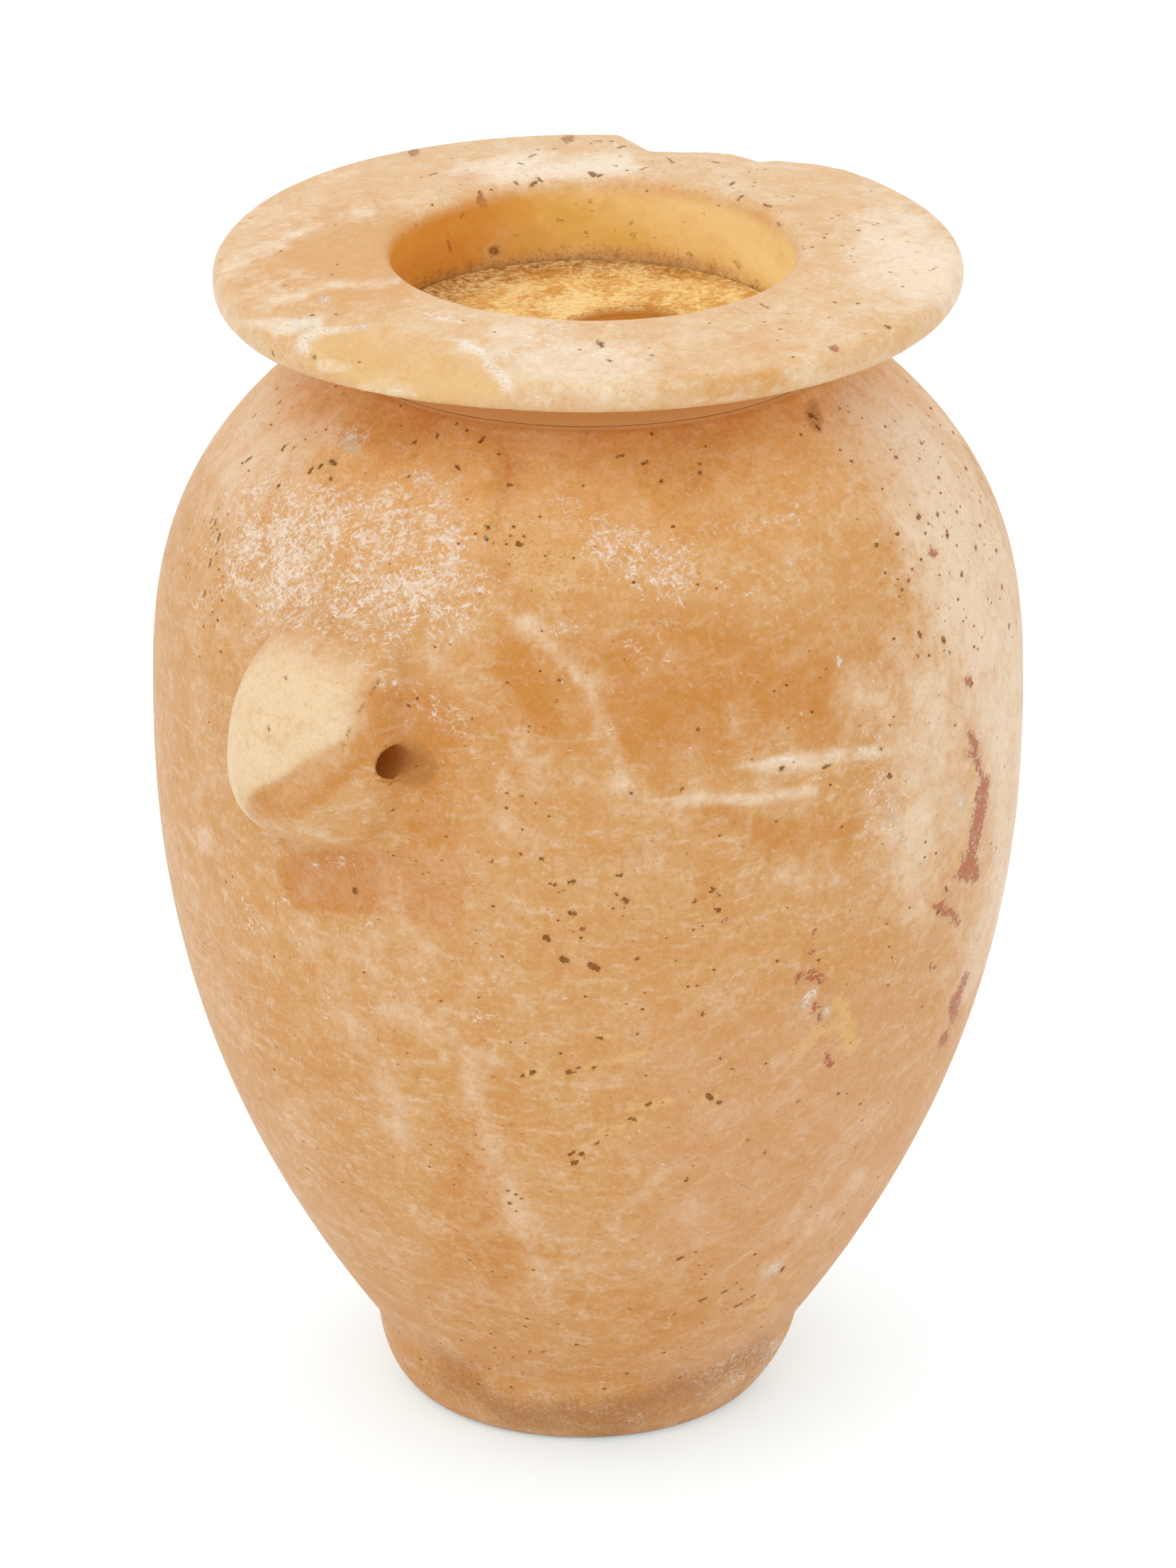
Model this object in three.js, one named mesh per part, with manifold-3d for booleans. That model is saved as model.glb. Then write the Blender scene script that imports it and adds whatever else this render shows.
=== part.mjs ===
// A lugged travertine jar in millimetres, +Z up, with its origin at the middle of the flat foot.
// It has a drilled body block, a separate rim ring and the thin bedding that sets the ring on the body.
import * as THREE from 'three';
import { mergeVertices } from 'three/addons/utils/BufferGeometryUtils.js';
import Module from 'manifold-3d';

const wasm = await Module();
wasm.setup();

// Foot
const footHeight = 13;
const footSoleRadius = 28.7;
const footTopRadius = 35.5;
const footEdgeRise = 4.5;
const footEdgeRadius = 33;

// Body wall: the belly is the widest place, and each curve leaves it level
const bellyHeight = 120.7;
const bellyRadius = 71.4;
const lowerFullness = 2.17;
const upperFullness = 3;

// Overall height, and the seat for the rim ring on top of the shoulder
const vesselHeight = 200;
const ringHeight = 16;
const seatHeight = vesselHeight - ringHeight;
const seatRadius = 41;
const ringWall = 7.1;
const fitClearance = 0.4;
const spigotRise = 1.8;
const spigotRadius = seatRadius - ringWall - fitClearance;

// Drilled bore, off the middle as a hand drill leaves it
const boreRadius = 11.2;
const boreTipRadius = 9.6;
const boreDepth = 150;
const boreTipDepth = 5;
const boreOffsetX = 5.4;
const boreOffsetY = -4.6;

// Two pierced lugs, opposite each other on the belly
const lugHeight = 138.7;
const lugRootDepth = 2.5;
const lugReach = 11.8;
const lugHalfWidth = 14.4;
const lugHalfHeight = 15.6;
const lugSquareness = 3;
const lugDroopShare = 0.26;
const lugHoleRadius = 3.1;
const lugHoleFloorDepth = 2.2;

// Bedding under the rim ring
const beddingThickness = 0.6;
const beddingSetback = 0.5;

// Rim ring
const rimRadius = 60.6;
const rimEdgeRadius = 2.4;
const rimDroop = 1;
const mouthUndercut = 1.3;
const mouthRadius = seatRadius - ringWall - mouthUndercut;
const lipRounding = 2.2;
const neckWaistDepth = 1.4;
const neckRadius = seatRadius - neckWaistDepth;
const neckWaistRise = 3.6;
const flareReach = 2.6;
const flareRadius = seatRadius + flareReach;
const flareRise = 7.4;

// Wear on the rim: a bite out of the edge and a long flake off the top
const bite = { turn: 14, halfLength: 17, halfDepth: 4.2, halfHeight: 2.6, inset: 0.8 };
const flake = { turn: -168, halfLength: 21, halfDepth: 12, halfHeight: 3.2, inset: 4 };
const biteCut = 1.9;
const flakeCut = 0.9;
const wearSquareness = 2;

// Fineness of the round forms, as counts
const roundSteps = 64;
const boreSteps = 32;
const holeSteps = 20;
const wallSteps = 12;
const arcSteps = 5;
const blockSteps = 24;
const blockRings = 16;

const overrun = 4;

const bodyStone = new THREE.MeshStandardMaterial({ color: 0xd8a974, roughness: 0.55, metalness: 0 });
const rimStone = new THREE.MeshStandardMaterial({ color: 0xecd0a6, roughness: 0.48, metalness: 0 });
const resinBed = new THREE.MeshStandardMaterial({ color: 0x7a4f25, roughness: 0.85, metalness: 0 });

// Height and radius pairs along a curve that is flat at the belly and falls away by a power
function bellyCurve(fromHeight, fromRadius, fullness) {
  const points = [];
  for (let step = 0; step <= wallSteps; step += 1) {
    const share = Math.cos((step / wallSteps) * (Math.PI / 2));
    const drop = (bellyRadius - fromRadius) * Math.pow(share, fullness);
    const height = bellyHeight + (fromHeight - bellyHeight) * share;
    points.push(new THREE.Vector2(bellyRadius - drop, height));
  }
  return points;
}

// Points of a circular arc in the profile plane, angles in degrees from the outward direction
function arcPoints(centreRadius, centreHeight, radius, fromAngle, toAngle) {
  const points = [];
  for (let step = 0; step <= arcSteps; step += 1) {
    const angle = THREE.MathUtils.degToRad(fromAngle + (toAngle - fromAngle) * (step / arcSteps));
    points.push(new THREE.Vector2(
      centreRadius + radius * Math.cos(angle),
      centreHeight + radius * Math.sin(angle),
    ));
  }
  return points;
}

// A lathe turned about Z from a profile of (radius, height) points, which runs upwards on its outside
function turned(profile, steps) {
  const geometry = new THREE.LatheGeometry(profile, steps);
  geometry.rotateX(Math.PI / 2);
  return geometry;
}

// A closed geometry as a solid that can be joined and cut
function solidOf(geometry) {
  const bare = geometry.clone();
  bare.deleteAttribute('normal');
  bare.deleteAttribute('uv');
  const merged = mergeVertices(bare);
  return new wasm.Manifold(new wasm.Mesh({
    numProp: 3,
    vertProperties: new Float32Array(merged.attributes.position.array),
    triVerts: new Uint32Array(merged.index.array),
  }));
}

function geometryOf(solid) {
  const mesh = solid.getMesh();
  const geometry = new THREE.BufferGeometry();
  geometry.setAttribute('position', new THREE.BufferAttribute(mesh.vertProperties, mesh.numProp));
  geometry.setIndex(new THREE.BufferAttribute(mesh.triVerts, 1));
  geometry.computeVertexNormals();
  return geometry;
}

// A block with soft edges: a unit sphere pushed towards a cube, then scaled to its half sizes
function softBlock(halfX, halfY, halfZ, squareness) {
  const geometry = new THREE.SphereGeometry(1, blockSteps, blockRings);
  const place = geometry.attributes.position;
  for (let index = 0; index < place.count; index += 1) {
    const point = new THREE.Vector3().fromBufferAttribute(place, index);
    const sum = Math.abs(point.x) ** squareness + Math.abs(point.y) ** squareness
      + Math.abs(point.z) ** squareness;
    point.multiplyScalar(sum ** (-1 / squareness));
    place.setXYZ(index, point.x * halfX, point.y * halfY, point.z * halfZ);
  }
  return geometry;
}

// The body's outer wall with its foot, seat and spigot, still solid inside
function bodyBlock() {
  const profile = [
    new THREE.Vector2(0, 0),
    new THREE.Vector2(footSoleRadius, 0),
    new THREE.Vector2(footEdgeRadius, footEdgeRise),
    ...bellyCurve(footHeight, footTopRadius, lowerFullness),
    ...bellyCurve(seatHeight, seatRadius, upperFullness).reverse().slice(1),
    new THREE.Vector2(spigotRadius, seatHeight),
    new THREE.Vector2(spigotRadius, seatHeight + spigotRise),
    new THREE.Vector2(0, seatHeight + spigotRise),
  ];
  return solidOf(turned(profile, roundSteps));
}

// The bore's own volume, a slightly tapered shaft with a dished tip
function boreVolume() {
  const mouth = seatHeight + spigotRise + overrun;
  const tip = seatHeight + spigotRise - boreDepth;
  const profile = [
    new THREE.Vector2(0, tip),
    new THREE.Vector2(boreTipRadius / 2, tip + boreTipDepth / 4),
    new THREE.Vector2(boreTipRadius, tip + boreTipDepth),
    new THREE.Vector2(boreRadius, mouth),
    new THREE.Vector2(0, mouth),
  ];
  const geometry = turned(profile, boreSteps);
  geometry.translate(boreOffsetX, boreOffsetY, 0);
  return solidOf(geometry);
}

// One lug as a soft block rooted in the wall on the +X side, with its outer end hanging lower
function lugBlock() {
  const rootRadius = bellyRadius - lugRootDepth;
  const halfReach = lugReach + lugRootDepth;
  const geometry = softBlock(halfReach, lugHalfWidth, lugHalfHeight, lugSquareness);
  const place = geometry.attributes.position;
  for (let index = 0; index < place.count; index += 1) {
    const droop = Math.max(0, place.getX(index)) * lugDroopShare;
    place.setZ(index, place.getZ(index) - droop);
  }
  geometry.translate(rootRadius, 0, lugHeight);
  return geometry;
}

// The hole that pierces a lug along the wall, part of it sunk into the wall behind
function lugHole() {
  const length = (lugHalfWidth + overrun) * 2;
  const geometry = new THREE.CylinderGeometry(lugHoleRadius, lugHoleRadius, length, holeSteps);
  geometry.translate(bellyRadius - lugHoleFloorDepth + lugHoleRadius, 0, lugHeight);
  return geometry;
}

// The same geometry on the +X side or, half a turn on, on the -X side
function onSide(geometry, side) {
  const copy = geometry.clone();
  copy.rotateZ(side * Math.PI);
  return solidOf(copy);
}

function vesselBody() {
  let stone = bodyBlock();
  for (const side of [0, 1]) {
    stone = stone.add(onSide(lugBlock(), side));
    stone = stone.subtract(onSide(lugHole(), side));
  }
  return geometryOf(stone.subtract(boreVolume()));
}

// A flat ring of mortar on the seat, set back from the wall's outer edge
function rimBedding() {
  const inner = spigotRadius + fitClearance;
  const outer = seatRadius - beddingSetback;
  const top = seatHeight + beddingThickness;
  const profile = [
    new THREE.Vector2(inner, seatHeight),
    new THREE.Vector2(outer, seatHeight),
    new THREE.Vector2(outer, top),
    new THREE.Vector2(inner, top),
    new THREE.Vector2(inner, seatHeight),
  ];
  return turned(profile, roundSteps);
}

// The ring's profile: up the neck outside, out under the rim, round its edge and down into the mouth
function ringProfile() {
  const ringBase = seatHeight + beddingThickness;
  const mouthBaseRadius = spigotRadius + fitClearance;
  const edgeHeight = vesselHeight - rimDroop - rimEdgeRadius;
  const start = new THREE.Vector2(mouthBaseRadius, ringBase);
  return [
    start,
    new THREE.Vector2(seatRadius, ringBase),
    new THREE.Vector2(neckRadius, ringBase + neckWaistRise),
    new THREE.Vector2(flareRadius, ringBase + flareRise),
    ...arcPoints(rimRadius - rimEdgeRadius, edgeHeight, rimEdgeRadius, -90, 90),
    ...arcPoints(mouthRadius + lipRounding, vesselHeight - lipRounding, lipRounding, 90, 180),
    start.clone(),
  ];
}

// A soft block laid on the rim's top edge, turned to its place round the ring
function rimCutter(wear, depthBelowTop) {
  const geometry = softBlock(wear.halfDepth, wear.halfLength, wear.halfHeight, wearSquareness);
  const top = vesselHeight - rimDroop;
  geometry.translate(rimRadius + wear.inset - wear.halfDepth, 0, top + wear.halfHeight - depthBelowTop);
  geometry.rotateZ(THREE.MathUtils.degToRad(wear.turn));
  return solidOf(geometry);
}

function rimRing() {
  const whole = solidOf(turned(ringProfile(), roundSteps));
  const bitten = whole.subtract(rimCutter(bite, biteCut));
  return geometryOf(bitten.subtract(rimCutter(flake, flakeCut)));
}

function namedMesh(name, geometry, material) {
  const mesh = new THREE.Mesh(geometry, material);
  mesh.name = name;
  return mesh;
}

const vessel = new THREE.Group();
vessel.add(namedMesh('vessel_body', vesselBody(), bodyStone));
vessel.add(namedMesh('rim_bedding', rimBedding(), resinBed));
vessel.add(namedMesh('rim_ring', rimRing(), rimStone));

export default vessel;
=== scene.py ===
# Lugged travertine jar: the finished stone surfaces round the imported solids.
# Shapes are worked out in millimetres and turned to metres when a mesh is made.
import math
from itertools import product

import bmesh
import bpy
import numpy as np
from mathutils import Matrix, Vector


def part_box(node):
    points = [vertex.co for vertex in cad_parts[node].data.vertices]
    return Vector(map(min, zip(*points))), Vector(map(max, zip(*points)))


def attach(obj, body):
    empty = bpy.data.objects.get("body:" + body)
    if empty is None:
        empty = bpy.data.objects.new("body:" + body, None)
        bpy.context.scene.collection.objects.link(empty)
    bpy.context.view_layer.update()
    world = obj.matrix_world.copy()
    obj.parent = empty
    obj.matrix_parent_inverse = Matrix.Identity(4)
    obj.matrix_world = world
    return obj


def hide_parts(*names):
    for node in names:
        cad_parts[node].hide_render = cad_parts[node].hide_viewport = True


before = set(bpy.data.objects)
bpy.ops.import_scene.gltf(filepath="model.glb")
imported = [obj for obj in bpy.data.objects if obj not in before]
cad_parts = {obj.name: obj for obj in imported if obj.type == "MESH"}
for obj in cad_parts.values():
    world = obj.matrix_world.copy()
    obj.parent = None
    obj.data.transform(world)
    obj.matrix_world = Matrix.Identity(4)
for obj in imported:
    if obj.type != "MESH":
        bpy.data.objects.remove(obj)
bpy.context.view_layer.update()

mm = 0.001
crispAngle = 50
farAway = 1e9
print("frame loaded:", sorted(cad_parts))


# Sizes that come from the solids
def boxInMm(node):
    low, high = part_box(node)
    return np.array(low) / mm, np.array(high) / mm


bodyHigh = boxInMm("vessel_body")[1]
ringLow, ringHigh = boxInMm("rim_ring")
bedLow, bedHigh = boxInMm("rim_bedding")
beddingSetback = 0.5
bellyRadius = bodyHigh[1]
lugReach = bodyHigh[0] - bellyRadius
spigotTop = bodyHigh[2]
seatHeight = bedLow[2]
seatRadius = bedHigh[1] + beddingSetback
ringBase = ringLow[2]
rimRadius = ringHigh[1]
vesselHeight = ringHigh[2]

# The camera of the photograph, found by fitting the jar's circles
photo = {
    "widthPixels": 1659,
    "heightPixels": 2212,
    "focalPixels": 12000,
    "sensorWidth": 36,
    "clipEnd": 20,
    "distance": 1402.8,
    "azimuth": -53.8,
    "elevation": 23.29,
    "aimHeight": 106.0,
}
azimuth = math.radians(photo["azimuth"])
elevation = math.radians(photo["elevation"])
towardsCamera = np.array([
    math.sin(azimuth) * math.cos(elevation),
    -math.cos(azimuth) * math.cos(elevation),
    math.sin(elevation),
])
aimPoint = np.array([0.0, 0.0, photo["aimHeight"]])
cameraPoint = aimPoint + photo["distance"] * towardsCamera
viewRight = np.array([math.cos(azimuth), math.sin(azimuth), 0.0])
viewUp = np.cross(viewRight, -towardsCamera)


# Photo pixel of every point
def pixelsOf(points):
    offset = points - cameraPoint
    depth = offset @ -towardsCamera
    across = photo["widthPixels"] / 2 + photo["focalPixels"] * (offset @ viewRight) / depth
    down = photo["heightPixels"] / 2 - photo["focalPixels"] * (offset @ viewUp) / depth
    return across, down


# Angle about Z, in degrees, of a direction given from the view: 0 is to the right, 90 is away
def frameAngle(viewAngle):
    return viewAngle + photo["azimuth"]


def makeCamera():
    data = bpy.data.cameras.new("photoCamera")
    data.sensor_fit = "HORIZONTAL"
    data.sensor_width = photo["sensorWidth"]
    data.lens = photo["sensorWidth"] * photo["focalPixels"] / photo["widthPixels"]
    data.clip_end = photo["clipEnd"]
    camera = bpy.data.objects.new("photoCamera", data)
    camera.location = Vector(cameraPoint * mm)
    direction = Vector(-towardsCamera)
    camera.rotation_euler = direction.to_track_quat("-Z", "Y").to_euler()
    bpy.context.scene.collection.objects.link(camera)
    bpy.context.scene.camera = camera


makeCamera()
print("camera placed")


# Small numeric helpers
def smoothStep(low, high, value):
    share = np.clip((value - low) / (high - low), 0, 1)
    return share * share * (3 - 2 * share)


def softMin(first, second, width):
    blend = np.clip(0.5 + 0.5 * (second - first) / width, 0, 1)
    return second + (first - second) * blend - width * blend * (1 - blend)


def softMax(first, second, width):
    return -softMin(-first, -second, width)


# Signed difference of two angles in degrees, from -180 to 180
def turnBetween(angle, centre):
    return (angle - centre + 180) % 360 - 180


# Smooth noise from about -1 to 1 at each point, with features of about the given size
def waves(points, size, octaves=3, seed=0):
    cells = 24
    octaveShift = 7.3
    gain = 1.5
    lattice = np.random.default_rng(seed).uniform(-1, 1, (cells, cells, cells))
    total = np.zeros(len(points))
    weights = 0
    for octave in range(octaves):
        place = points / size * 2 ** octave + octaveShift * octave
        cell = np.floor(place).astype(int)
        share = place - cell
        share = share * share * (3 - 2 * share)
        value = np.zeros(len(points))
        for corner in product((0, 1), repeat=3):
            index = (cell + corner) % cells
            value += lattice[tuple(index.T)] * np.prod(np.where(corner, share, 1 - share), axis=1)
        total += value * 0.5 ** octave
        weights += 0.5 ** octave
    return np.clip(total / weights * gain, -1, 1)


# Corners cut again and again until a coarse outline is round
def rounded(points, passes=3):
    points = np.array(points, float)
    quarter = 0.25
    for _ in range(passes):
        mixed = np.empty((2 * len(points) - 2, 2))
        mixed[0::2] = points[:-1] * (1 - quarter) + points[1:] * quarter
        mixed[1::2] = points[:-1] * quarter + points[1:] * (1 - quarter)
        points = np.vstack([points[:1], mixed, points[-1:]])
    return points


# Even or weighted steps along an outline
def resampled(points, count, weight=None):
    steps = np.hypot(*np.diff(points, axis=0).T)
    if weight is not None:
        middle = (points[:-1] + points[1:]) / 2
        steps = steps * weight(middle)
    length = np.concatenate([[0], np.cumsum(steps)])
    wanted = np.linspace(0, length[-1], count)
    return np.stack([np.interp(wanted, length, points[:, 0]), np.interp(wanted, length, points[:, 1])], 1)


# Radius, height and turn of every point of an outline swept round Z, with a row for each outline point
def swept(outline, angles):
    radius = outline[:, 0][:, None] * np.ones(len(angles))
    height = outline[:, 1][:, None] * np.ones(len(angles))
    turn = np.radians(angles)[None, :] * np.ones((len(outline), 1))
    return radius, height, turn


# Points from radius, height and turn, moved to the right of the view by a shift
def polarPoints(radius, height, turn, shift=0):
    x = radius * np.cos(turn) + shift * viewRight[0]
    y = radius * np.sin(turn) + shift * viewRight[1]
    return np.stack([x, y, height], 2)


def circlePoints(radius, height, turn, centre=(0, 0)):
    x = centre[0] + radius * np.cos(turn)
    y = centre[1] + radius * np.sin(turn)
    return np.stack([x, y, np.full(len(turn), float(height))], 1)


# Faces between neighbouring rings of equal size; rings is a list of vertex index arrays
def ringFaces(rings, closed=False):
    faces = []
    pairs = list(zip(rings[:-1], rings[1:]))
    if closed:
        pairs.append((rings[-1], rings[0]))
    for lower, upper in pairs:
        lowerNext = np.roll(lower, -1)
        upperNext = np.roll(upper, -1)
        faces.append(np.stack([lower, lowerNext, upperNext, upper], 1))
    return np.concatenate(faces).tolist()


# Faces where a ring meets one with half as many points
def halvingFaces(fine, coarse, outwardUp=True):
    faces = []
    count = len(coarse)
    for index in range(count):
        following = (index + 1) % count
        start = fine[2 * index]
        middle = fine[2 * index + 1]
        end = fine[(2 * index + 2) % len(fine)]
        corners = [[start, middle, coarse[index]], [middle, end, coarse[following]],
                   [middle, coarse[following], coarse[index]]]
        faces += corners if outwardUp else [face[::-1] for face in corners]
    return faces


def newMesh(name, points, faces):
    mesh = bpy.data.meshes.new(name)
    mesh.from_pydata((np.asarray(points) * mm).tolist(), [], faces)
    mesh.validate()
    smoothFaces(mesh)
    piece = bpy.data.objects.new(name, mesh)
    bpy.context.scene.collection.objects.link(piece)
    return piece


# Smooth shading that keeps real edges crisp
def smoothFaces(mesh):
    mesh.shade_smooth()
    mesh.set_sharp_from_angle(angle=math.radians(crispAngle))


def vertexVectors(piece, label):
    flat = np.zeros(len(piece.data.vertices) * 3)
    piece.data.vertices.foreach_get(label, flat)
    return flat.reshape(-1, 3)


def pointsOf(piece):
    return vertexVectors(piece, "co") / mm


def normalsOf(piece):
    return vertexVectors(piece, "normal")


def setMask(piece, name, values):
    layer = piece.data.attributes.new(name, "FLOAT", "POINT")
    layer.data.foreach_set("value", np.asarray(values, np.float32))


# Body: wall, foot, lugs, drilled top
bodyForm = {
    "columns": 416,
    "wallRows": 186,
    "wallSamples": 1500,
    "footRows": 24,
    "bellyHeight": 120.7,
    "footHeight": 13.0,
    "footTopRadius": 35.5,
    "lowerFullness": 2.17,
    "upperFullness": 3.0,
    "footOutline": [(28.0, 0.0), (29.4, 0.0), (30.9, 1.0), (33.1, 4.2), (34.8, 8.2), (35.5, 11.4),
                    (35.7, 13.2)],
    "footJoin": 1.2,
    "footShift": -0.9,
    "footShiftFrom": 1.0,
    "soleRadii": (26.5, 22, 16, 10, 4),
    "unevenness": 0.10,
    "unevenSize": 42.0,
    "ripple": 0.05,
    "rippleSize": 11.0,
    "rippleFlatness": 1.6,
    "plainBelow": (0, 6),
    "plainAbove": (178, 184),
    "seatInset": 1.5,
    "spigotRadius": 33.5,
    "spigotRounding": 0.3,
    "spigotEdgeDrop": 0.7,
    "floorInset": 0.35,
    "floorDrop": 0.1,
    "floorDish": 0.5,
    "floorRelief": 0.55,
    "floorGrain": 5.0,
    "floorCalmShare": 0.12,
    "floorRings": 30,
    "boreRadius": 11.2,
    "boreTipRadius": 9.6,
    "boreDepth": 150.0,
    "boreOffset": (5.4, -4.6),
    "boreRings": 14,
    "boreLip": 0.9,
    "boreLipSteps": [(0.6, 0.5), (1.6, 0.85)],
    "boreLipRelief": 0.2,
    "boreLipHeight": 2,
    "boreInset": 0.15,
    "boreCrowding": 1.3,
    "boreTipDepth": 5,
    "boreTipCurve": 1.5,
    "boreTipShares": (0.75, 0.45, 0.2),
}
lugForm = {
    "height": 138.7,
    "centreLift": 1.0,
    "halfWidth": 15.2,
    "halfHeight": 18.6,
    "squareness": 2.6,
    "cornerSquareness": 2.6,
    "cornerShares": (0.1, 0.9),
    "roundness": 3.4,
    "droopShare": 0.26,
    "extraReach": 0.8,
    "reachMargin": 0.05,
    "crownPoint": (-4, 4),
    "crownCurve": (0.012, 0.004),
    "facetDrop": 0.6,
    "facetSlope": 0.40,
    "facetSoftness": 3.2,
    "ridgePoint": (-5.5, -7.9),
    "ridgeTurn": 37.7,
    "ridgeWobble": 0.8,
    "ridgeWaves": (0.55, 0.3, 1.2),
    "fillet": 2.6,
    "filletFall": 0.9,
    "filletEnd": 1.6,
    "knapDepth": 0.22,
    "knapSize": 4.5,
    "knapRise": (1, 6),
    "window": (30, 34),
    "holeRadius": 2.95,
    "holeDrop": 0.4,
    "holeAxisRadius": 72.3,
    "holeWobble": 0.06,
    "holeWander": 0.1,
    "holeRings": 57,
    "holeSides": 36,
    "grooveStart": 12,
    "grooveDepth": 1.2,
    "grooveReach": 20.5,
    "grooveRunOut": 2,
    "grooveLift": 0.5,
    "grooveSink": 0.2,
    "grooveSpread": -0.7,
    "softenGap": (2.0, 8.0),
    "softenReach": (6, 24),
    "softenPasses": 4,
    "rowsFrom": (113, 121),
    "rowsTo": (156, 164),
    "rowCrowding": 0.8,
    "columnsWithin": (13, 20),
    "columnCrowding": 1.0,
}
panelForm = {
    "across": 4.5,
    "below": -24.0,
    "halfWidth": 14.5,
    "halfHeight": 7.6,
    "depth": 0.6,
    "squareness": 4,
    "edgeShares": (0.86, 1.0),
}


# Radius of the plain turned wall at each height
def wallRadius(heights):
    form = bodyForm
    lower = np.clip((form["bellyHeight"] - heights) / (form["bellyHeight"] - form["footHeight"]), 0, 1)
    upper = np.clip((heights - form["bellyHeight"]) / (seatHeight - form["bellyHeight"]), 0, 1)
    lowerDrop = (bellyRadius - form["footTopRadius"]) * lower ** form["lowerFullness"]
    upperDrop = (bellyRadius - seatRadius) * upper ** form["upperFullness"]
    return bellyRadius - lowerDrop - upperDrop


def bodyOutline():
    form = bodyForm
    foot = resampled(rounded(form["footOutline"]), form["footRows"])
    heights = np.linspace(form["footHeight"] + form["footJoin"], seatHeight, form["wallSamples"])
    wall = np.stack([wallRadius(heights), heights], 1)

    def density(middle):
        below = smoothStep(*lugForm["rowsFrom"], middle[:, 1])
        above = smoothStep(*lugForm["rowsTo"], middle[:, 1])
        return 1 + lugForm["rowCrowding"] * (below * (1 - above))

    return np.vstack([foot, resampled(wall, form["wallRows"], density)])


# Column angles in degrees, closer together across the two lugs
def columnAngles(count, crowding):
    samples = 7201
    fine = np.linspace(-90, 270, samples)
    near = np.zeros_like(fine)
    for lugAngle in (0, 180):
        away = smoothStep(*lugForm["columnsWithin"], np.abs(turnBetween(fine, lugAngle)))
        near = np.maximum(near, 1 - away)
    total = np.concatenate([[0], np.cumsum(1 + crowding * (near[:-1] + near[1:]) / 2)])
    return np.interp(np.linspace(0, total[-1], count, endpoint=False), total, fine)


# How far a lug stands off the wall, over a point across and up from its middle
def lugRise(across, above, worn):
    form = lugForm
    up = above - form["centreLift"]
    acrossShare = across / form["halfWidth"]
    upShare = up / form["halfHeight"]
    corner = smoothStep(*form["cornerShares"], acrossShare) * smoothStep(*form["cornerShares"], upShare)
    power = form["squareness"] + form["cornerSquareness"] * corner
    spread = (np.abs(acrossShare) ** power + np.abs(upShare) ** power) ** (1 / power)
    inside = np.clip(1 - spread ** form["roundness"], 0, 1)
    reach = lugReach + form["extraReach"]
    crownAcross, crownUp = form["crownPoint"]
    curveAcross, curveUp = form["crownCurve"]
    face = reach - curveAcross * (across - crownAcross) ** 2 - curveUp * (up - crownUp) ** 2
    turn = math.radians(form["ridgeTurn"])
    startAcross, startAbove = form["ridgePoint"]
    waveAcross, waveUp, waveStart = form["ridgeWaves"]
    beyond = (across - startAcross) * math.sin(turn) - (up - startAbove) * math.cos(turn)
    beyond = beyond + form["ridgeWobble"] * np.sin(waveAcross * across + waveUp * up + waveStart)
    facet = reach - form["facetDrop"] - form["facetSlope"] * beyond
    top = softMin(face, facet, form["facetSoftness"]) if worn else face
    rise = top * np.sqrt(inside)
    outside = np.where(spread > 1, -(spread - 1) * form["halfWidth"] * form["filletFall"], 0)
    blended = softMax(rise + outside, np.zeros_like(rise), form["fillet"])
    return blended - form["fillet"] / 4 * (spread > form["filletEnd"])


# How much of the worked panel's depth applies, over a point across and up from the lug's middle
def panelShare(across, above):
    form = panelForm
    acrossShare = (across - form["across"]) / form["halfWidth"]
    upShare = (above - form["below"]) / form["halfHeight"]
    power = form["squareness"]
    spread = (np.abs(acrossShare) ** power + np.abs(upShare) ** power) ** (1 / power)
    return 1 - smoothStep(*form["edgeShares"], spread)


def bodyPoints(angles, outline):
    form = bodyForm
    radius, height, turn = swept(outline, angles)
    flat = polarPoints(radius, height, turn).reshape(-1, 3)
    swell = waves(flat, form["unevenSize"], 2, 31).reshape(radius.shape)
    ripple = waves(flat * [1, 1, form["rippleFlatness"]], form["rippleSize"], 3, 77).reshape(radius.shape)
    fade = smoothStep(*form["plainBelow"], height) * (1 - smoothStep(*form["plainAbove"], height))
    radius = radius - fade * (form["unevenness"] * (1 + swell) + form["ripple"] * (1 + ripple)) * 0.5
    windowAcross, windowUp = lugForm["window"]
    for lugAngle, worn in ((180, True), (0, False)):
        across = np.radians(turnBetween(angles, lugAngle))[None, :] * bellyRadius
        above = height - lugForm["height"]
        near = (np.abs(across) < windowAcross) & (np.abs(above) < windowUp)
        rise = np.where(near, lugRise(across * np.ones_like(height), above, worn), 0)
        rise = np.clip(rise, 0, None)
        if worn:
            radius = radius - panelForm["depth"] * panelShare(across, above)
        knap = waves(flat, lugForm["knapSize"], 3, 13).reshape(radius.shape)
        standing = smoothStep(*lugForm["knapRise"], rise)
        radius = radius + rise - standing * lugForm["knapDepth"] * (1 + knap) * 0.5
        radius = np.minimum(radius, bodyHigh[0] - lugForm["reachMargin"])
        height = height - lugForm["droopShare"] * rise
    shift = form["footShift"] * (1 - smoothStep(form["footShiftFrom"], form["footHeight"], height))
    return polarPoints(radius, height, turn, shift)


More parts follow.
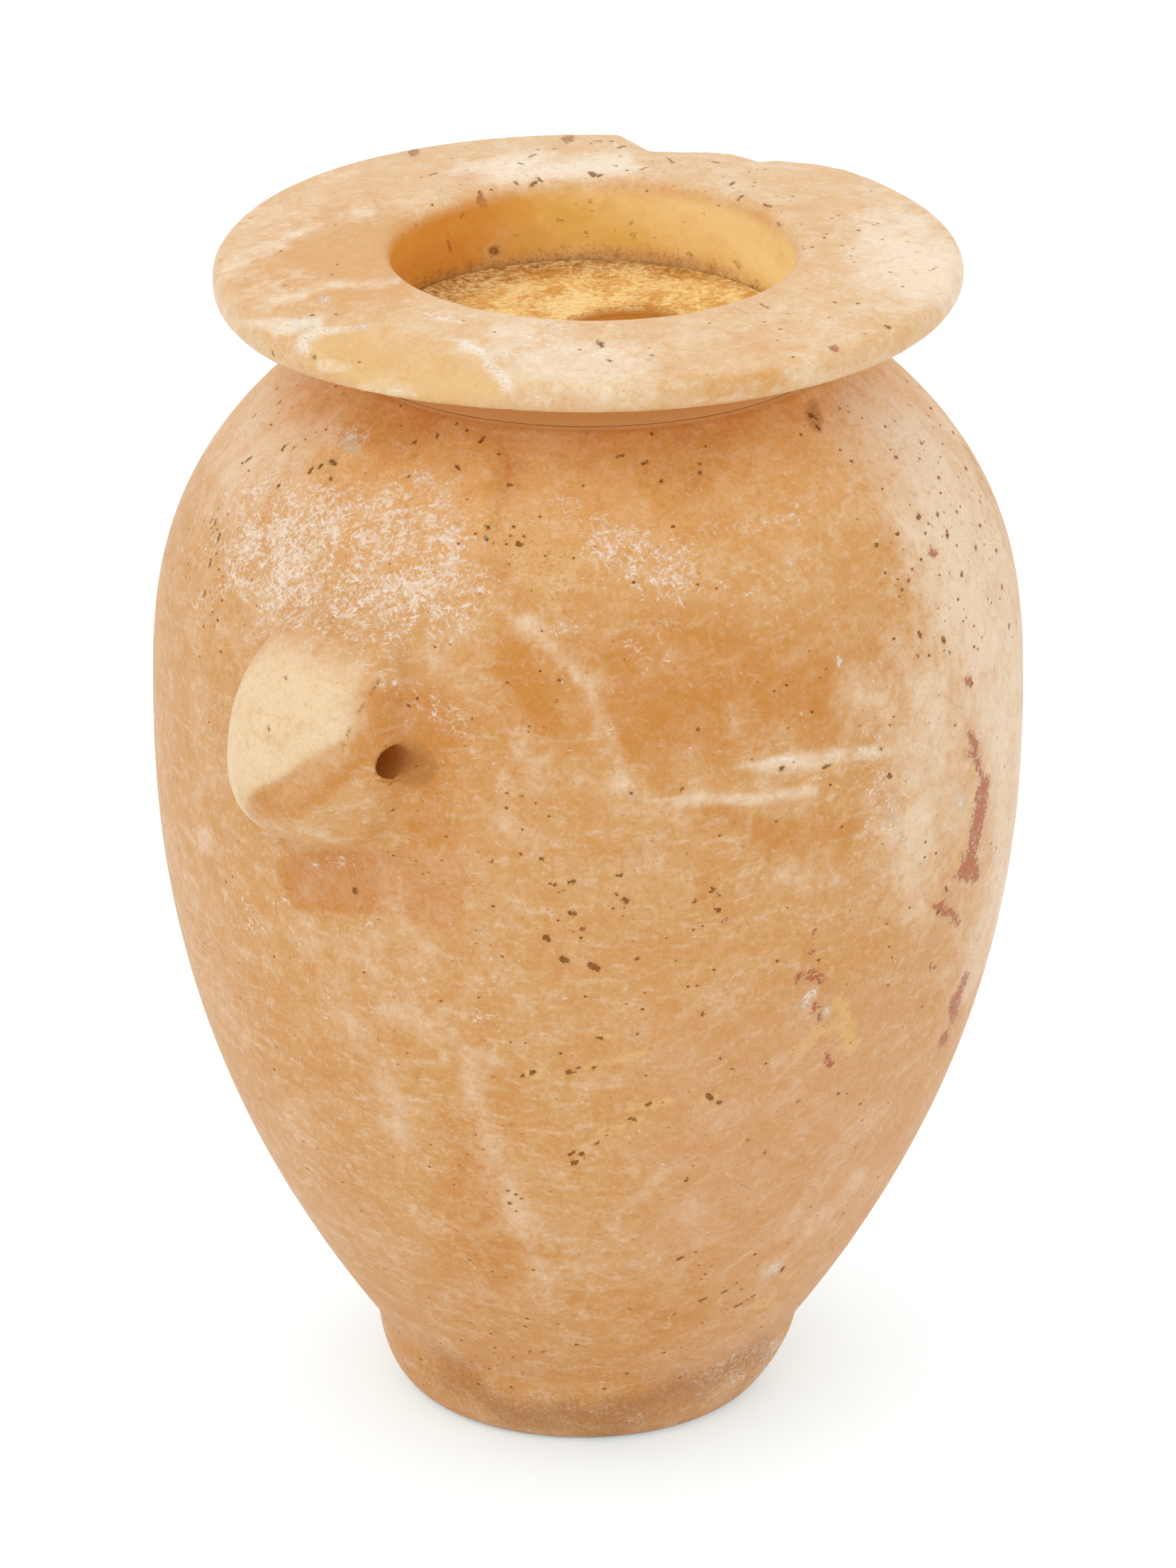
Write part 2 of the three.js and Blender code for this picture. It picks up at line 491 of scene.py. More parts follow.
def bodyMesh():
    form = bodyForm
    angles = columnAngles(form["columns"], lugForm["columnCrowding"])
    outer = bodyPoints(angles, bodyOutline())
    rows, columns = outer.shape[:2]
    points = [outer.reshape(-1, 3)]
    rings = [np.arange(columns) + row * columns for row in range(rows)]
    faces = ringFaces(rings)
    total = rows * columns
    turn = np.radians(angles[::2])

    def addRing(radius, height, centre=(0, 0), relief=0.0):
        nonlocal total
        ring = circlePoints(radius, height, turn, centre)
        if relief:
            lift = waves(ring, form["floorGrain"], 4, 5) * relief
            ring[:, 2] += lift - relief * 0.4
        points.append(ring)
        indices = np.arange(len(turn)) + total
        total += len(turn)
        return indices

    def closeRing(ring, middle, outwardUp):
        nonlocal total
        points.append(np.array([middle]))
        for first, second in zip(ring, np.roll(ring, -1)):
            faces.append([first, second, total] if outwardUp else [second, first, total])
        total += 1

    # Seat, spigot, rough floor and bore, from the shoulder inwards
    spigotRadius = form["spigotRadius"]
    rounding = form["spigotRounding"]
    inner = [addRing(seatRadius - form["seatInset"], seatHeight)]
    faces += halvingFaces(rings[-1], inner[0])
    inner.append(addRing(spigotRadius + rounding, seatHeight))
    inner.append(addRing(spigotRadius, seatHeight + rounding))
    inner.append(addRing(spigotRadius, spigotTop - form["spigotEdgeDrop"]))
    bore = np.array(form["boreOffset"])
    boreRadius = form["boreRadius"]
    lip = form["boreLip"]
    for step in range(form["floorRings"] + 1):
        share = step / form["floorRings"]
        radius = spigotRadius - form["floorInset"] + (boreRadius + lip - spigotRadius) * share
        relief = form["floorRelief"] * float(smoothStep(0, form["floorCalmShare"], np.array(share)))
        height = spigotTop - form["floorDrop"] - form["floorDish"] * share ** 2
        inner.append(addRing(radius, height, bore * share, relief))
    floorEdge = spigotTop - form["floorDrop"] - form["floorDish"]
    for drop, inset in form["boreLipSteps"]:
        inner.append(addRing(boreRadius + lip - inset, floorEdge - drop, bore, form["boreLipRelief"]))
    shaftTop = floorEdge - form["boreLipHeight"]
    tip = spigotTop - form["boreDepth"]
    tipDepth = form["boreTipDepth"]
    for step in range(1, form["boreRings"] + 1):
        share = (step / form["boreRings"]) ** form["boreCrowding"]
        radius = boreRadius + (form["boreTipRadius"] - boreRadius) * share - form["boreInset"]
        inner.append(addRing(radius, shaftTop + (tip + tipDepth - shaftTop) * share, bore))
    for share in form["boreTipShares"]:
        height = tip + tipDepth * share ** form["boreTipCurve"]
        inner.append(addRing(form["boreTipRadius"] * share, height, bore))
    faces += ringFaces(inner)
    closeRing(inner[-1], [bore[0], bore[1], tip], True)

    # Sole, from its rounded edge to the middle
    centre = viewRight[:2] * form["footShift"]
    sole = [addRing(radius, 0, centre) for radius in form["soleRadii"]]
    faces += halvingFaces(rings[0], sole[0], outwardUp=False)
    faces += [face[::-1] for face in ringFaces(sole)]
    closeRing(sole[-1], [centre[0], centre[1], 0], False)
    return newMesh("dressed_body", np.vstack(points), faces)


# Radius of the string hole and its axis's distance from the middle, over the length along Y. Past the
# lug the hole bends along the wall as a groove that runs out.
def holePath(lengths):
    form = lugForm
    start, depthEnd = form["grooveStart"], form["grooveReach"]
    reach = depthEnd + form["grooveRunOut"]
    away = np.clip(np.abs(lengths), 0, reach)
    radii = form["holeRadius"] + form["grooveSpread"] * smoothStep(start, reach, away)
    radii = radii + form["holeWobble"] * np.sin(lengths * 0.9)
    depth = form["grooveDepth"] * (1 - smoothStep(start, depthEnd, away))
    depth = depth - form["grooveLift"] * smoothStep(depthEnd - form["grooveRunOut"], reach, away)
    alongWall = np.sqrt(bellyRadius ** 2 - away ** 2) - form["grooveSink"] - depth + radii
    return radii, np.minimum(form["holeAxisRadius"], alongWall)


# A rod along Y that cuts a string hole with its two grooves
def holeCutter(side):
    form = lugForm
    reach = form["grooveReach"] + form["grooveRunOut"]
    lengths = np.linspace(-reach, reach, form["holeRings"])
    radii, middles = holePath(lengths)
    sides = form["holeSides"]
    turn = np.linspace(0, 2 * math.pi, sides, endpoint=False)
    points = []
    for length, radius, middle in zip(lengths, radii, middles):
        x = side * middle + radius * np.cos(turn)
        wander = form["holeWander"] * np.sin(length * 0.7)
        z = form["height"] - form["holeDrop"] + wander + radius * np.sin(turn)
        points.append(np.stack([x, np.full(sides, length), z], 1))
    rings = [np.arange(sides) + row * sides for row in range(len(lengths))]
    faces = ringFaces(rings)
    faces.append(rings[0].tolist())
    faces.append(rings[-1][::-1].tolist())
    cutter = newMesh("holeCutter", np.vstack(points), faces)
    tidyNormals(cutter)
    return cutter


def tidyNormals(piece):
    shape = bmesh.new()
    shape.from_mesh(piece.data)
    bmesh.ops.recalc_face_normals(shape, faces=shape.faces)
    shape.to_mesh(piece.data)
    shape.free()


def meshVolume(piece):
    shape = bmesh.new()
    shape.from_mesh(piece.data)
    volume = shape.calc_volume(signed=True)
    shape.free()
    return volume


def cutHoles(piece):
    for side in (-1, 1):
        cutter = holeCutter(side)
        cut = piece.modifiers.new("stringHole", "BOOLEAN")
        cut.operation = "DIFFERENCE"
        cut.solver = "MANIFOLD"
        cut.object = cutter
        bakeModifiers(piece)
        bpy.data.objects.remove(cutter)


# Replaces the mesh by what its modifiers make of it
def bakeModifiers(piece):
    graph = bpy.context.evaluated_depsgraph_get()
    made = bpy.data.meshes.new_from_object(piece.evaluated_get(graph))
    piece.modifiers.clear()
    old = piece.data
    piece.data = made
    bpy.data.meshes.remove(old)


# Wears down the sharp edges round the string holes
def softenHoles(piece):
    form = lugForm
    nearest, farthest = form["softenGap"]
    shortest, longest = form["softenReach"]
    shape = bmesh.new()
    shape.from_mesh(piece.data)
    bmesh.ops.remove_doubles(shape, verts=shape.verts, dist=0.02 * mm)
    near = []
    for vertex in shape.verts:
        x, y, z = vertex.co / mm
        gap = math.hypot(abs(x) - form["holeAxisRadius"], z - form["height"])
        if nearest < gap < farthest and shortest < abs(y) < longest:
            near.append(vertex)
    axes = {"use_axis_x": True, "use_axis_y": True, "use_axis_z": True}
    for _ in range(form["softenPasses"]):
        bmesh.ops.smooth_vert(shape, verts=near, factor=0.5, **axes)
    shape.to_mesh(piece.data)
    shape.free()
    smoothFaces(piece.data)


# Prints how large a piece came out
def tellSize(label, piece):
    print(label, len(piece.data.polygons), "faces, volume", round(meshVolume(piece) / mm ** 3), "mm3")


body = bodyMesh()
tellSize("body mesh:", body)
cutHoles(body)
softenHoles(body)
tellSize("string holes cut:", body)


# Rim ring: neck, wide flat rim and mouth
rimForm = {
    "columns": 560,
    "rings": 104,
    "edgeRadius": 2.4,
    "edgeArc": (-80, 85),
    "droop": 1.0,
    "mouthRadius": 32.6,
    "lipRounding": 2.2,
    "lipArc": (92, 180),
    "mouthBaseRadius": 33.9,
    "mouthBaseRounding": 0.4,
    "underMargin": 1,
    "neckBaseRounding": 0.15,
    "neckRadius": 39.6,
    "neckWaistRise": 3.6,
    "flareRadius": 43.6,
    "flareRise": 7.4,
    "flareStart": (-1.5, -0.9),
    "flareEnd": (3, 0.6),
    "mouthShift": 0.8,
    "mouthShiftWithin": (35, 47),
    "mouthShiftRise": (3, 9),
    "swell": 0.12,
    "swellSize": 26.0,
    "ripple": 0.05,
    "rippleSize": 6.0,
    "topWaves": 0.06,
    "topRipple": 0.07,
    "outerPart": (44, 58),
    "freeRise": (1.0, 5.0),
    "upperMargin": 1.5,
    "sag": {"turn": 195, "width": 60, "drop": 0.6, "thicken": 1.3},
    "frontTurn": 270,
    "frontThicken": 0.5,
    "frontSpread": (50, 105),
    "leftBulge": 0.3,
    "bulgeFrom": (56.5, 58.5),
    "bulgeMargin": 0.1,
    "farDrop": [(44, 0.0), (48, 0.4), (52, 0.7), (58, 1.4), (61, 2.2), (63, 2.0), (66, 1.7), (70, 1.8),
                (74, 2.3), (80, 2.4), (82.5, 1.2), (85, 0.0)],
    "farReach": (12, 3),
    "farInset": 0.35,
    "farRoughness": 0.12,
    "flakePixels": [(430, 470), (455, 462), (513, 462), (560, 450), (600, 441), (636, 474), (632, 478),
                    (691, 503), (687, 512), (719, 539), (742, 553), (792, 558), (812, 578), (815, 640),
                    (430, 640)],
    "flakeEdge": (-0.15, 0.55),
    "flakeRaggedness": 0.45,
    "flakeStep": 0.6,
    "flakeSlope": 0.31,
    "flakeReach": 9,
    "flakeHollow": 0.35,
    "flakeInset": 0.4,
    "ridgeMiddle": -0.1,
    "ridgeWidth": (0.3, 1.3),
}


def arcPoints(centreRadius, centreHeight, radius, fromAngle, toAngle, steps=10):
    turns = np.radians(np.linspace(fromAngle, toAngle, steps + 1))
    return [(centreRadius + radius * math.cos(t), centreHeight + radius * math.sin(t)) for t in turns]


def ringOutline():
    form = rimForm
    edgeRadius, lipRounding = form["edgeRadius"], form["lipRounding"]
    edgeHeight = vesselHeight - form["droop"] - edgeRadius
    mouthBase = form["mouthBaseRadius"]
    baseRounding, neckRounding = form["mouthBaseRounding"], form["neckBaseRounding"]
    flare = [(form["flareRadius"] + out, ringBase + form["flareRise"] + rise)
             for out, rise in (form["flareStart"], form["flareEnd"])]
    neck = rounded([
        (mouthBase + form["underMargin"], ringBase), (seatRadius - neckRounding, ringBase),
        (seatRadius, ringBase + neckRounding), (form["neckRadius"], ringBase + form["neckWaistRise"]),
        *flare, (rimRadius - edgeRadius, edgeHeight - edgeRadius),
    ], 2).tolist()
    edge = arcPoints(rimRadius - edgeRadius, edgeHeight, edgeRadius, *form["edgeArc"])
    lipMiddle = (form["mouthRadius"] + lipRounding, vesselHeight - lipRounding)
    lip = arcPoints(*lipMiddle, lipRounding, *form["lipArc"])
    wall = [(mouthBase, ringBase + baseRounding), (mouthBase + baseRounding, ringBase)]
    loop = np.array(neck + edge + lip + wall + [neck[0]])
    return resampled(loop, form["rings"] + 1)[:-1]


# Distance of every point to the straight line between two corners
def awayFromEdge(x, y, start, end):
    (ax, ay), (bx, by) = start, end
    lengthSquared = max((bx - ax) ** 2 + (by - ay) ** 2, 1e-9)
    along = np.clip(((x - ax) * (bx - ax) + (y - ay) * (by - ay)) / lengthSquared, 0, 1)
    return np.hypot(x - ax - along * (bx - ax), y - ay - along * (by - ay))


def awayFromLine(x, y, corners):
    nearest = np.full(x.shape, farAway)
    for start, end in zip(corners[:-1], corners[1:]):
        nearest = np.minimum(nearest, awayFromEdge(x, y, start, end))
    return nearest


# Signed distance to a closed outline, positive inside
def insideBy(x, y, corners):
    corners = np.asarray(corners, float)
    inside = np.zeros(x.shape, bool)
    for (ax, ay), (bx, by) in zip(corners, np.roll(corners, -1, axis=0)):
        inside ^= ((ay > y) != (by > y)) & (x < (bx - ax) * (y - ay) / (by - ay + 1e-12) + ax)
    nearest = awayFromLine(x, y, np.vstack([corners, corners[:1]]))
    return np.where(inside, nearest, -nearest)


# Where the line of sight of a photo pixel meets a level plane
def castOnPlane(pixels, height):
    pixels = np.asarray(pixels, float)
    across = (pixels[:, 0] - photo["widthPixels"] / 2) / photo["focalPixels"]
    rise = (photo["heightPixels"] / 2 - pixels[:, 1]) / photo["focalPixels"]
    rays = -towardsCamera + across[:, None] * viewRight + rise[:, None] * viewUp
    reach = (height - cameraPoint[2]) / rays[:, 2]
    return cameraPoint + rays * reach[:, None]


def ringMesh():
    form = rimForm
    outline = ringOutline()
    rings, columns = len(outline), form["columns"]
    angles = np.linspace(0, 360, columns, endpoint=False)
    radius, height, turn = swept(outline, angles)
    flat = polarPoints(radius, height, turn).reshape(-1, 3)
    swell = waves(flat, form["swellSize"], 2, 22).reshape(radius.shape)
    fine = waves(flat, form["rippleSize"], 3, 44).reshape(radius.shape)
    edgeHeight = vesselHeight - form["droop"] - form["edgeRadius"]
    margin = form["upperMargin"]
    out = smoothStep(*form["outerPart"], radius)
    upper = smoothStep(edgeHeight - margin, edgeHeight + margin, height)
    upShare = np.clip((height - edgeHeight) / form["edgeRadius"] * 0.5 + 0.5, 0, 1)
    free = smoothStep(*form["freeRise"], height - ringBase)

    # Uneven edge and top, never past the solid's own size
    radius = radius - free * (form["swell"] * (1 + swell) * out + form["ripple"] * (1 + fine)) * 0.5
    height = height - free * (form["topWaves"] * (1 + swell) + form["topRipple"] * (1 + fine)) * 0.5

    # The left side hangs lower and is thicker, and the front is a little thicker too
    sag = form["sag"]
    fromSag = np.abs(turnBetween(angles, frameAngle(sag["turn"])))[None, :]
    near = 1 - smoothStep(sag["width"] * 0.25, sag["width"], fromSag)
    fromFront = np.abs(turnBetween(angles, frameAngle(form["frontTurn"])))[None, :]
    frontShare = 1 - smoothStep(*form["frontSpread"], fromFront)
    thicker = np.maximum(near * sag["thicken"], form["frontThicken"] * frontShare)
    height = height - out * (near * sag["drop"] + thicker * (1 - upper))
    bulge = form["leftBulge"] * near * (1 - upShare) * smoothStep(*form["bulgeFrom"], radius)
    radius = radius + bulge * np.clip(rimRadius - form["bulgeMargin"] - radius, 0, None)

    # A long shallow chip out of the far edge, its depth given round the view
    farTurns, farDrops = np.array(form["farDrop"]).T
    viewTurn = (angles - frameAngle(0)) % 360
    drop = np.interp(viewTurn, farTurns, farDrops)[None, :]
    farFrom, farTo = form["farReach"]
    edge = smoothStep(rimRadius - farFrom, rimRadius - farTo, radius)
    rough = form["farRoughness"] * fine * (drop > 0.3)
    height = height - upShare * edge * (drop + rough)
    radius = radius - form["farInset"] * drop * edge * upShare

    # Long flake off the top at the front left
    border = castOnPlane(form["flakePixels"], vesselHeight - form["droop"])[:, :2]
    within = insideBy(radius * np.cos(turn), radius * np.sin(turn), border)
    within = within + form["flakeRaggedness"] * fine
    flake = smoothStep(*form["flakeEdge"], within) * upShare * out
    deeper = smoothStep(0, form["flakeReach"], within)
    slope = form["flakeSlope"] * np.clip(within, 0, form["flakeReach"])
    height = height - flake * (form["flakeStep"] + slope + form["flakeHollow"] * fine * deeper)
    radius = radius - flake * form["flakeInset"] * deeper
    fromRidge = np.abs(within - form["ridgeMiddle"])
    ridge = (1 - smoothStep(*form["ridgeWidth"], fromRidge)) * smoothStep(0.5, 0.9, upShare) * out

    # The mouth sits a little right of the rim's middle
    central = 1 - smoothStep(*form["mouthShiftWithin"], radius)
    shift = form["mouthShift"] * central * smoothStep(*form["mouthShiftRise"], height - ringBase)
    points = polarPoints(radius, height, turn, shift).reshape(-1, 3)
    indices = [np.arange(columns) + row * columns for row in range(rings)]
    piece = newMesh("dressed_rim", points, ringFaces(indices, closed=True))
    setMask(piece, "flake", flake.reshape(-1))
    setMask(piece, "ridge", ridge.reshape(-1))
    return piece


rim = ringMesh()
tellSize("rim mesh:", rim)


# Bedding: the thin bed of resin mortar between rim and body
beddingForm = {
    "columns": 260,
    "innerRadius": 33.9,
    "innerBulge": 0.05,
    "outerRadius": 41.0,
    "unevenness": 0.04,
    "lumpSize": 3.0,
}


def beddingMesh():
    form = beddingForm
    turn = np.linspace(0, 2 * math.pi, form["columns"], endpoint=False)
    low, high = bedLow[2], bedHigh[2]
    inner, outer = form["innerRadius"], form["outerRadius"]
    middle = (low + high) / 2
    between = (inner + outer) / 2
    loop = [(inner, low), (outer, low), (outer, middle), (outer, high), (inner, high),
            (inner - form["innerBulge"], middle)]
    points = []
    for radius, height in loop:
        ring = circlePoints(radius, height, turn)
        wander = waves(ring, form["lumpSize"], 3, 90) * form["unevenness"]
        inward = wander if radius < between else -np.abs(wander)
        ring[:, :2] *= ((radius + inward) / radius)[:, None]
        points.append(ring)
    indices = [np.arange(len(turn)) + row * len(turn) for row in range(len(loop))]
    piece = newMesh("dressed_bedding", np.vstack(points), ringFaces(indices, closed=True))
    across = np.hypot(*pointsOf(piece)[:, :2].T)
    setMask(piece, "outer", (across > between).astype(float))
    return piece


bedding = beddingMesh()
tellSize("bedding mesh:", bedding)


# Marks on the stone, drawn where the photo shows them. A patch is (strength, soft border, corners) and a
# line is (strength, half width, soft border, corners), all in photo pixels.
bodyPatches = {
    "honey": [
        # Painted shade of the rim on the shoulder under its front, on the stone's honey tone
        (0.25, 22, [(640, 588), (860, 578), (1060, 586), (1045, 640), (1025, 712), (940, 705), (890, 690),
            (830, 665), (760, 640), (700, 655), (680, 620)]),
        (0.5, 16, [(690, 650), (738, 645), (745, 720), (730, 800), (762, 870), (720, 880), (700, 820),
            (700, 720)]),
        (0.7, 30, [(800, 905), (940, 880), (1020, 860), (1090, 885), (1225, 905), (1232, 950),
            (1210, 990), (1185, 1040), (1040, 1062), (930, 1095), (890, 1090), (868, 1050), (850, 1000),
            (815, 945)]),
        (1.0, 42, [(850, 935), (930, 905), (1010, 925), (1045, 1000), (1030, 1045), (960, 1055),
            (900, 1045), (865, 1000)]),
        (0.45, 44, [(640, 960), (810, 940), (840, 1060), (690, 1100)]),
        (0.9, 16, [(690, 925), (740, 915), (790, 1010), (812, 1070), (790, 1082), (715, 1000)]),
        (0.6, 18, [(490, 1000), (540, 965), (600, 962), (640, 1000), (662, 1060), (652, 1130),
            (620, 1150), (520, 1090)]),
        # Painted shadow of the lug on the wall below its right end
        (0.5, 13, [(575, 1150), (630, 1145), (652, 1180), (664, 1290), (640, 1330), (580, 1310),
            (556, 1220)]),
        (0.35, 24, [(600, 1320), (670, 1320), (690, 1400), (680, 1450), (640, 1440)]),
        (0.8, 7, [(392, 1205), (560, 1200), (560, 1270), (540, 1296), (430, 1285), (402, 1262)]),
        (0.55, 14, [(975, 1150), (1060, 1142), (1200, 1150), (1180, 1185), (1080, 1195), (960, 1170)]),
        (0.6, 10, [(850, 1190), (900, 1180), (960, 1200), (900, 1225)]),
        (0.5, 10, [(975, 1240), (1005, 1235), (1000, 1280), (975, 1270)]),
        (0.6, 3, [(1234, 1104), (1270, 1101), (1270, 1128), (1236, 1128)]),
        (0.1, 26, [(370, 1450), (430, 1440), (490, 1500), (560, 1700), (600, 1780), (720, 1930),
            (600, 1900), (430, 1650)]),
        (0.5, 22, [(600, 1560), (660, 1560), (740, 1760), (700, 1850), (640, 1800)]),
        (0.4, 20, [(880, 1820), (1000, 1810), (1010, 1880), (920, 1900)]),
        # The next two patches are painted shade of the rim on the shoulder under its right and left, on the
        # stone's honey tone
        (0.3, 16, [(1020, 572), (1140, 560), (1230, 530), (1235, 560), (1160, 612), (1080, 600),
            (1030, 610)]),
        (0.3, 16, [(420, 540), (500, 560), (620, 580), (640, 620), (600, 645), (520, 620), (440, 600)]),
        (0.7, 10, [(345, 1130), (400, 1090), (520, 1020), (530, 1070), (480, 1110), (420, 1160),
            (350, 1160)]),
        (0.3, 14, [(1140, 1300), (1160, 1340), (1185, 1440), (1170, 1470), (1140, 1400)]),
    ],
    "cream": [
        (0.6, 8, [(1035, 1083), (1120, 1062), (1230, 1047), (1272, 1050), (1262, 1068), (1180, 1078),
            (1100, 1090)]),
        (0.6, 6, [(925, 1130), (980, 1121), (1060, 1123), (1150, 1106), (1160, 1118), (1060, 1138),
            (960, 1142)]),
        (0.55, 26, [(300, 620), (360, 560), (460, 590), (430, 680), (310, 720)]),
        # The next two patches pale the right flank and edge: partly the stone's own cream, partly painted
        # light on that side
        (0.85, 50, [(1250, 940), (1330, 930), (1345, 1000), (1352, 1180), (1290, 1280), (1240, 1150),
            (1268, 1080)]),
        (1.0, 40, [(1190, 560), (1300, 560), (1400, 720), (1450, 900), (1430, 1250), (1380, 1380),
            (1390, 1100), (1300, 800)]),
        (0.35, 16, [(960, 1700), (1000, 1690), (1010, 1740), (985, 1762)]),
        (0.5, 8, [(640, 1470), (690, 1475), (710, 1500), (660, 1510)]),
        (0.4, 18, [(990, 1400), (1060, 1400), (1060, 1440), (1000, 1440)]),
        (0.6, 8, [(275, 1168), (297, 1170), (297, 1205), (280, 1200)]),
        (0.35, 16, [(1050, 1220), (1180, 1215), (1180, 1250), (1060, 1260)]),
    ],
    "frost": [
        (0.9, 42, [(310, 700), (400, 660), (520, 650), (650, 690), (680, 740), (690, 890), (560, 925),
            (330, 890), (295, 800)]),
        (0.6, 12, [(470, 595), (520, 600), (530, 625), (490, 630)]),
        (0.85, 30, [(820, 725), (900, 725), (985, 760), (1000, 820), (930, 880), (820, 800)]),
        (0.75, 18, [(976, 706), (1060, 720), (1146, 712), (1140, 755), (1050, 765)]),
        (0.55, 16, [(545, 930), (600, 955), (690, 1075), (650, 1080), (550, 965)]),
        (0.45, 18, [(740, 885), (850, 875), (950, 890), (950, 935), (830, 940)]),
        (0.5, 22, [(1170, 1060), (1270, 1050), (1300, 1150), (1260, 1220), (1200, 1180)]),
        (0.7, 5, [(1050, 1080), (1150, 1062), (1250, 1050), (1240, 1066), (1120, 1082)]),
        (0.95, 12, [(975, 1945), (1040, 1900), (1100, 1880), (1112, 1900), (1060, 1945), (985, 1975)]),
        (0.6, 8, [(830, 1985), (880, 1975), (920, 1985), (910, 2005), (840, 2010)]),
        (0.4, 8, [(672, 1965), (740, 1975), (820, 1985), (815, 2005), (680, 1985)]),
        (0.35, 20, [(300, 1210), (390, 1250), (480, 1450), (420, 1400), (330, 1300)]),
    ],
    "rose": [
        (0.45, 26, [(1350, 950), (1400, 950), (1420, 1150), (1370, 1350), (1320, 1340), (1340, 1150)]),
        (0.6, 14, [(548, 965), (590, 985), (610, 1050), (560, 1050), (540, 1010)]),
        (0.6, 12, [(400, 1205), (570, 1195), (660, 1200), (650, 1320), (560, 1300), (410, 1270)]),
        (0.65, 60, [(860, 1420), (1350, 1300), (1300, 1650), (1050, 1850), (880, 1800)]),
        (0.35, 60, [(680, 1200), (900, 1220), (1100, 1330), (900, 1500), (720, 1460)]),
        (0.9, 16, [(1125, 1370), (1160, 1370), (1185, 1420), (1185, 1490), (1150, 1500), (1120, 1460)]),
        (0.45, 28, [(1113, 1232), (1204, 1240), (1200, 1330), (1120, 1330)]),
        (0.5, 14, [(580, 1130), (640, 1120), (640, 1200), (590, 1210)]),
        (0.35, 26, [(560, 1160), (660, 1160), (680, 1300), (600, 1330)]),
        (0.75, 16, [(860, 1995), (900, 1950), (1000, 1905), (1110, 1850), (1090, 1920), (1000, 1990),
            (860, 2020)]),
    ],
    "soilAndShade": [
        # The next two patches are soil and painted shade of the rim on the shoulder under its right
        (1.0, 9, [(1130, 575), (1150, 560), (1165, 590), (1160, 612), (1142, 605)]),
        (0.5, 10, [(1165, 565), (1240, 530), (1240, 550), (1180, 585)]),
        (0.8, 8, [(432, 655), (480, 636), (476, 668), (440, 672)]),
        # Soil and painted shadow beside the string hole
        (0.9, 8, [(556, 1045), (600, 1050), (625, 1085), (610, 1110), (570, 1112), (550, 1100)]),
        # Darker along the foot's bottom edge
        (1.0, 20, [(600, 1890), (700, 1945), (830, 1972), (1000, 1930), (1100, 1855), (1100, 1900),
            (1000, 1990), (830, 2025), (700, 2005), (610, 1950)]),
        (0.5, 8, [(345, 1130), (360, 1110), (420, 1080), (430, 1095), (370, 1140)]),
        (0.35, 8, [(372, 1130), (420, 1140), (430, 1155), (385, 1152)]),
        (0.25, 10, [(400, 1205), (655, 1200), (650, 1320), (560, 1300), (410, 1280)]),
        (0.6, 6, [(990, 1535), (1015, 1525), (1015, 1560), (995, 1560)]),
    ],
    "grit": [
        (1.0, 18, [(700, 690), (735, 690), (745, 740), (810, 760), (820, 830), (790, 870), (740, 850),
            (700, 800)]),
        (0.5, 16, [(1180, 790), (1260, 800), (1260, 860), (1190, 850)]),
    ],
    "slant": [
        (1.0, 50, [(900, 600), (1480, 600), (1480, 1000), (1200, 900), (900, 880)]),
        (1.0, 60, [(930, 1480), (1450, 1300), (1300, 1700), (1100, 1900), (900, 1850)]),
    ],
    "facet": [
        (1.0, 14, [(540, 950), (520, 998), (489, 1044), (420, 1085), (345, 1130), (345, 1210),
            (540, 1210), (560, 1080)]),
    ],
}
bodyLines = {
    "cream": [
        (0.3, 10, 16, [(600, 920), (655, 955), (700, 1008), (745, 1068), (770, 1110)]),
        (0.5, 12, 14, [(745, 882), (790, 930), (832, 985), (860, 1040), (880, 1110)]),
        (0.3, 14, 22, [(430, 1300), (460, 1370), (510, 1480), (550, 1560), (572, 1620)]),
        (0.35, 14, 24, [(550, 1425), (620, 1450), (662, 1500), (690, 1600), (722, 1700), (762, 1790),
            (780, 1830)]),
        (0.35, 6, 12, [(1010, 1585), (1060, 1540), (1105, 1490)]),
        (0.3, 6, 12, [(1060, 1650), (1130, 1590)]),
        (0.35, 6, 12, [(1080, 1795), (1150, 1722), (1215, 1655)]),
        (0.3, 6, 12, [(1105, 1735), (1165, 1668)]),
        (0.3, 6, 12, [(1160, 1640), (1250, 1565)]),
        (0.3, 8, 14, [(860, 1730), (930, 1660)]),
    ],
    "frost": [
        (0.9, 2, 4, [(1004, 864), (1060, 832), (1122, 793)]),
        (0.8, 3, 5, [(382, 1181), (391, 1258), (412, 1279), (437, 1291), (550, 1311)]),
        (0.6, 3, 6, [(556, 975), (560, 1040)]),
        (0.6, 3, 6, [(575, 985), (580, 1045)]),
        (0.5, 3, 6, [(345, 1150), (372, 1190), (380, 1230)]),
        (0.6, 2, 5, [(400, 1206), (470, 1212), (540, 1208)]),
        (0.5, 2, 5, [(410, 1218), (480, 1223), (545, 1219)]),
    ],
    "rose": [
        (0.8, 9, 10, [(1362, 1018), (1376, 1050), (1376, 1090), (1386, 1130), (1370, 1190), (1352, 1235),
            (1335, 1290), (1320, 1340)]),
        (0.7, 7, 10, [(1365, 1375), (1345, 1420), (1325, 1460), (1305, 1500)]),
    ],
    "grit": [
        (0.7, 8, 8, [(620, 600), (694, 605), (712, 647), (700, 690), (690, 740)]),
        (0.8, 4, 5, [(750, 870), (760, 915)]),
        (0.55, 10, 9, [(870, 640), (940, 650), (1010, 640)]),
    ],
}
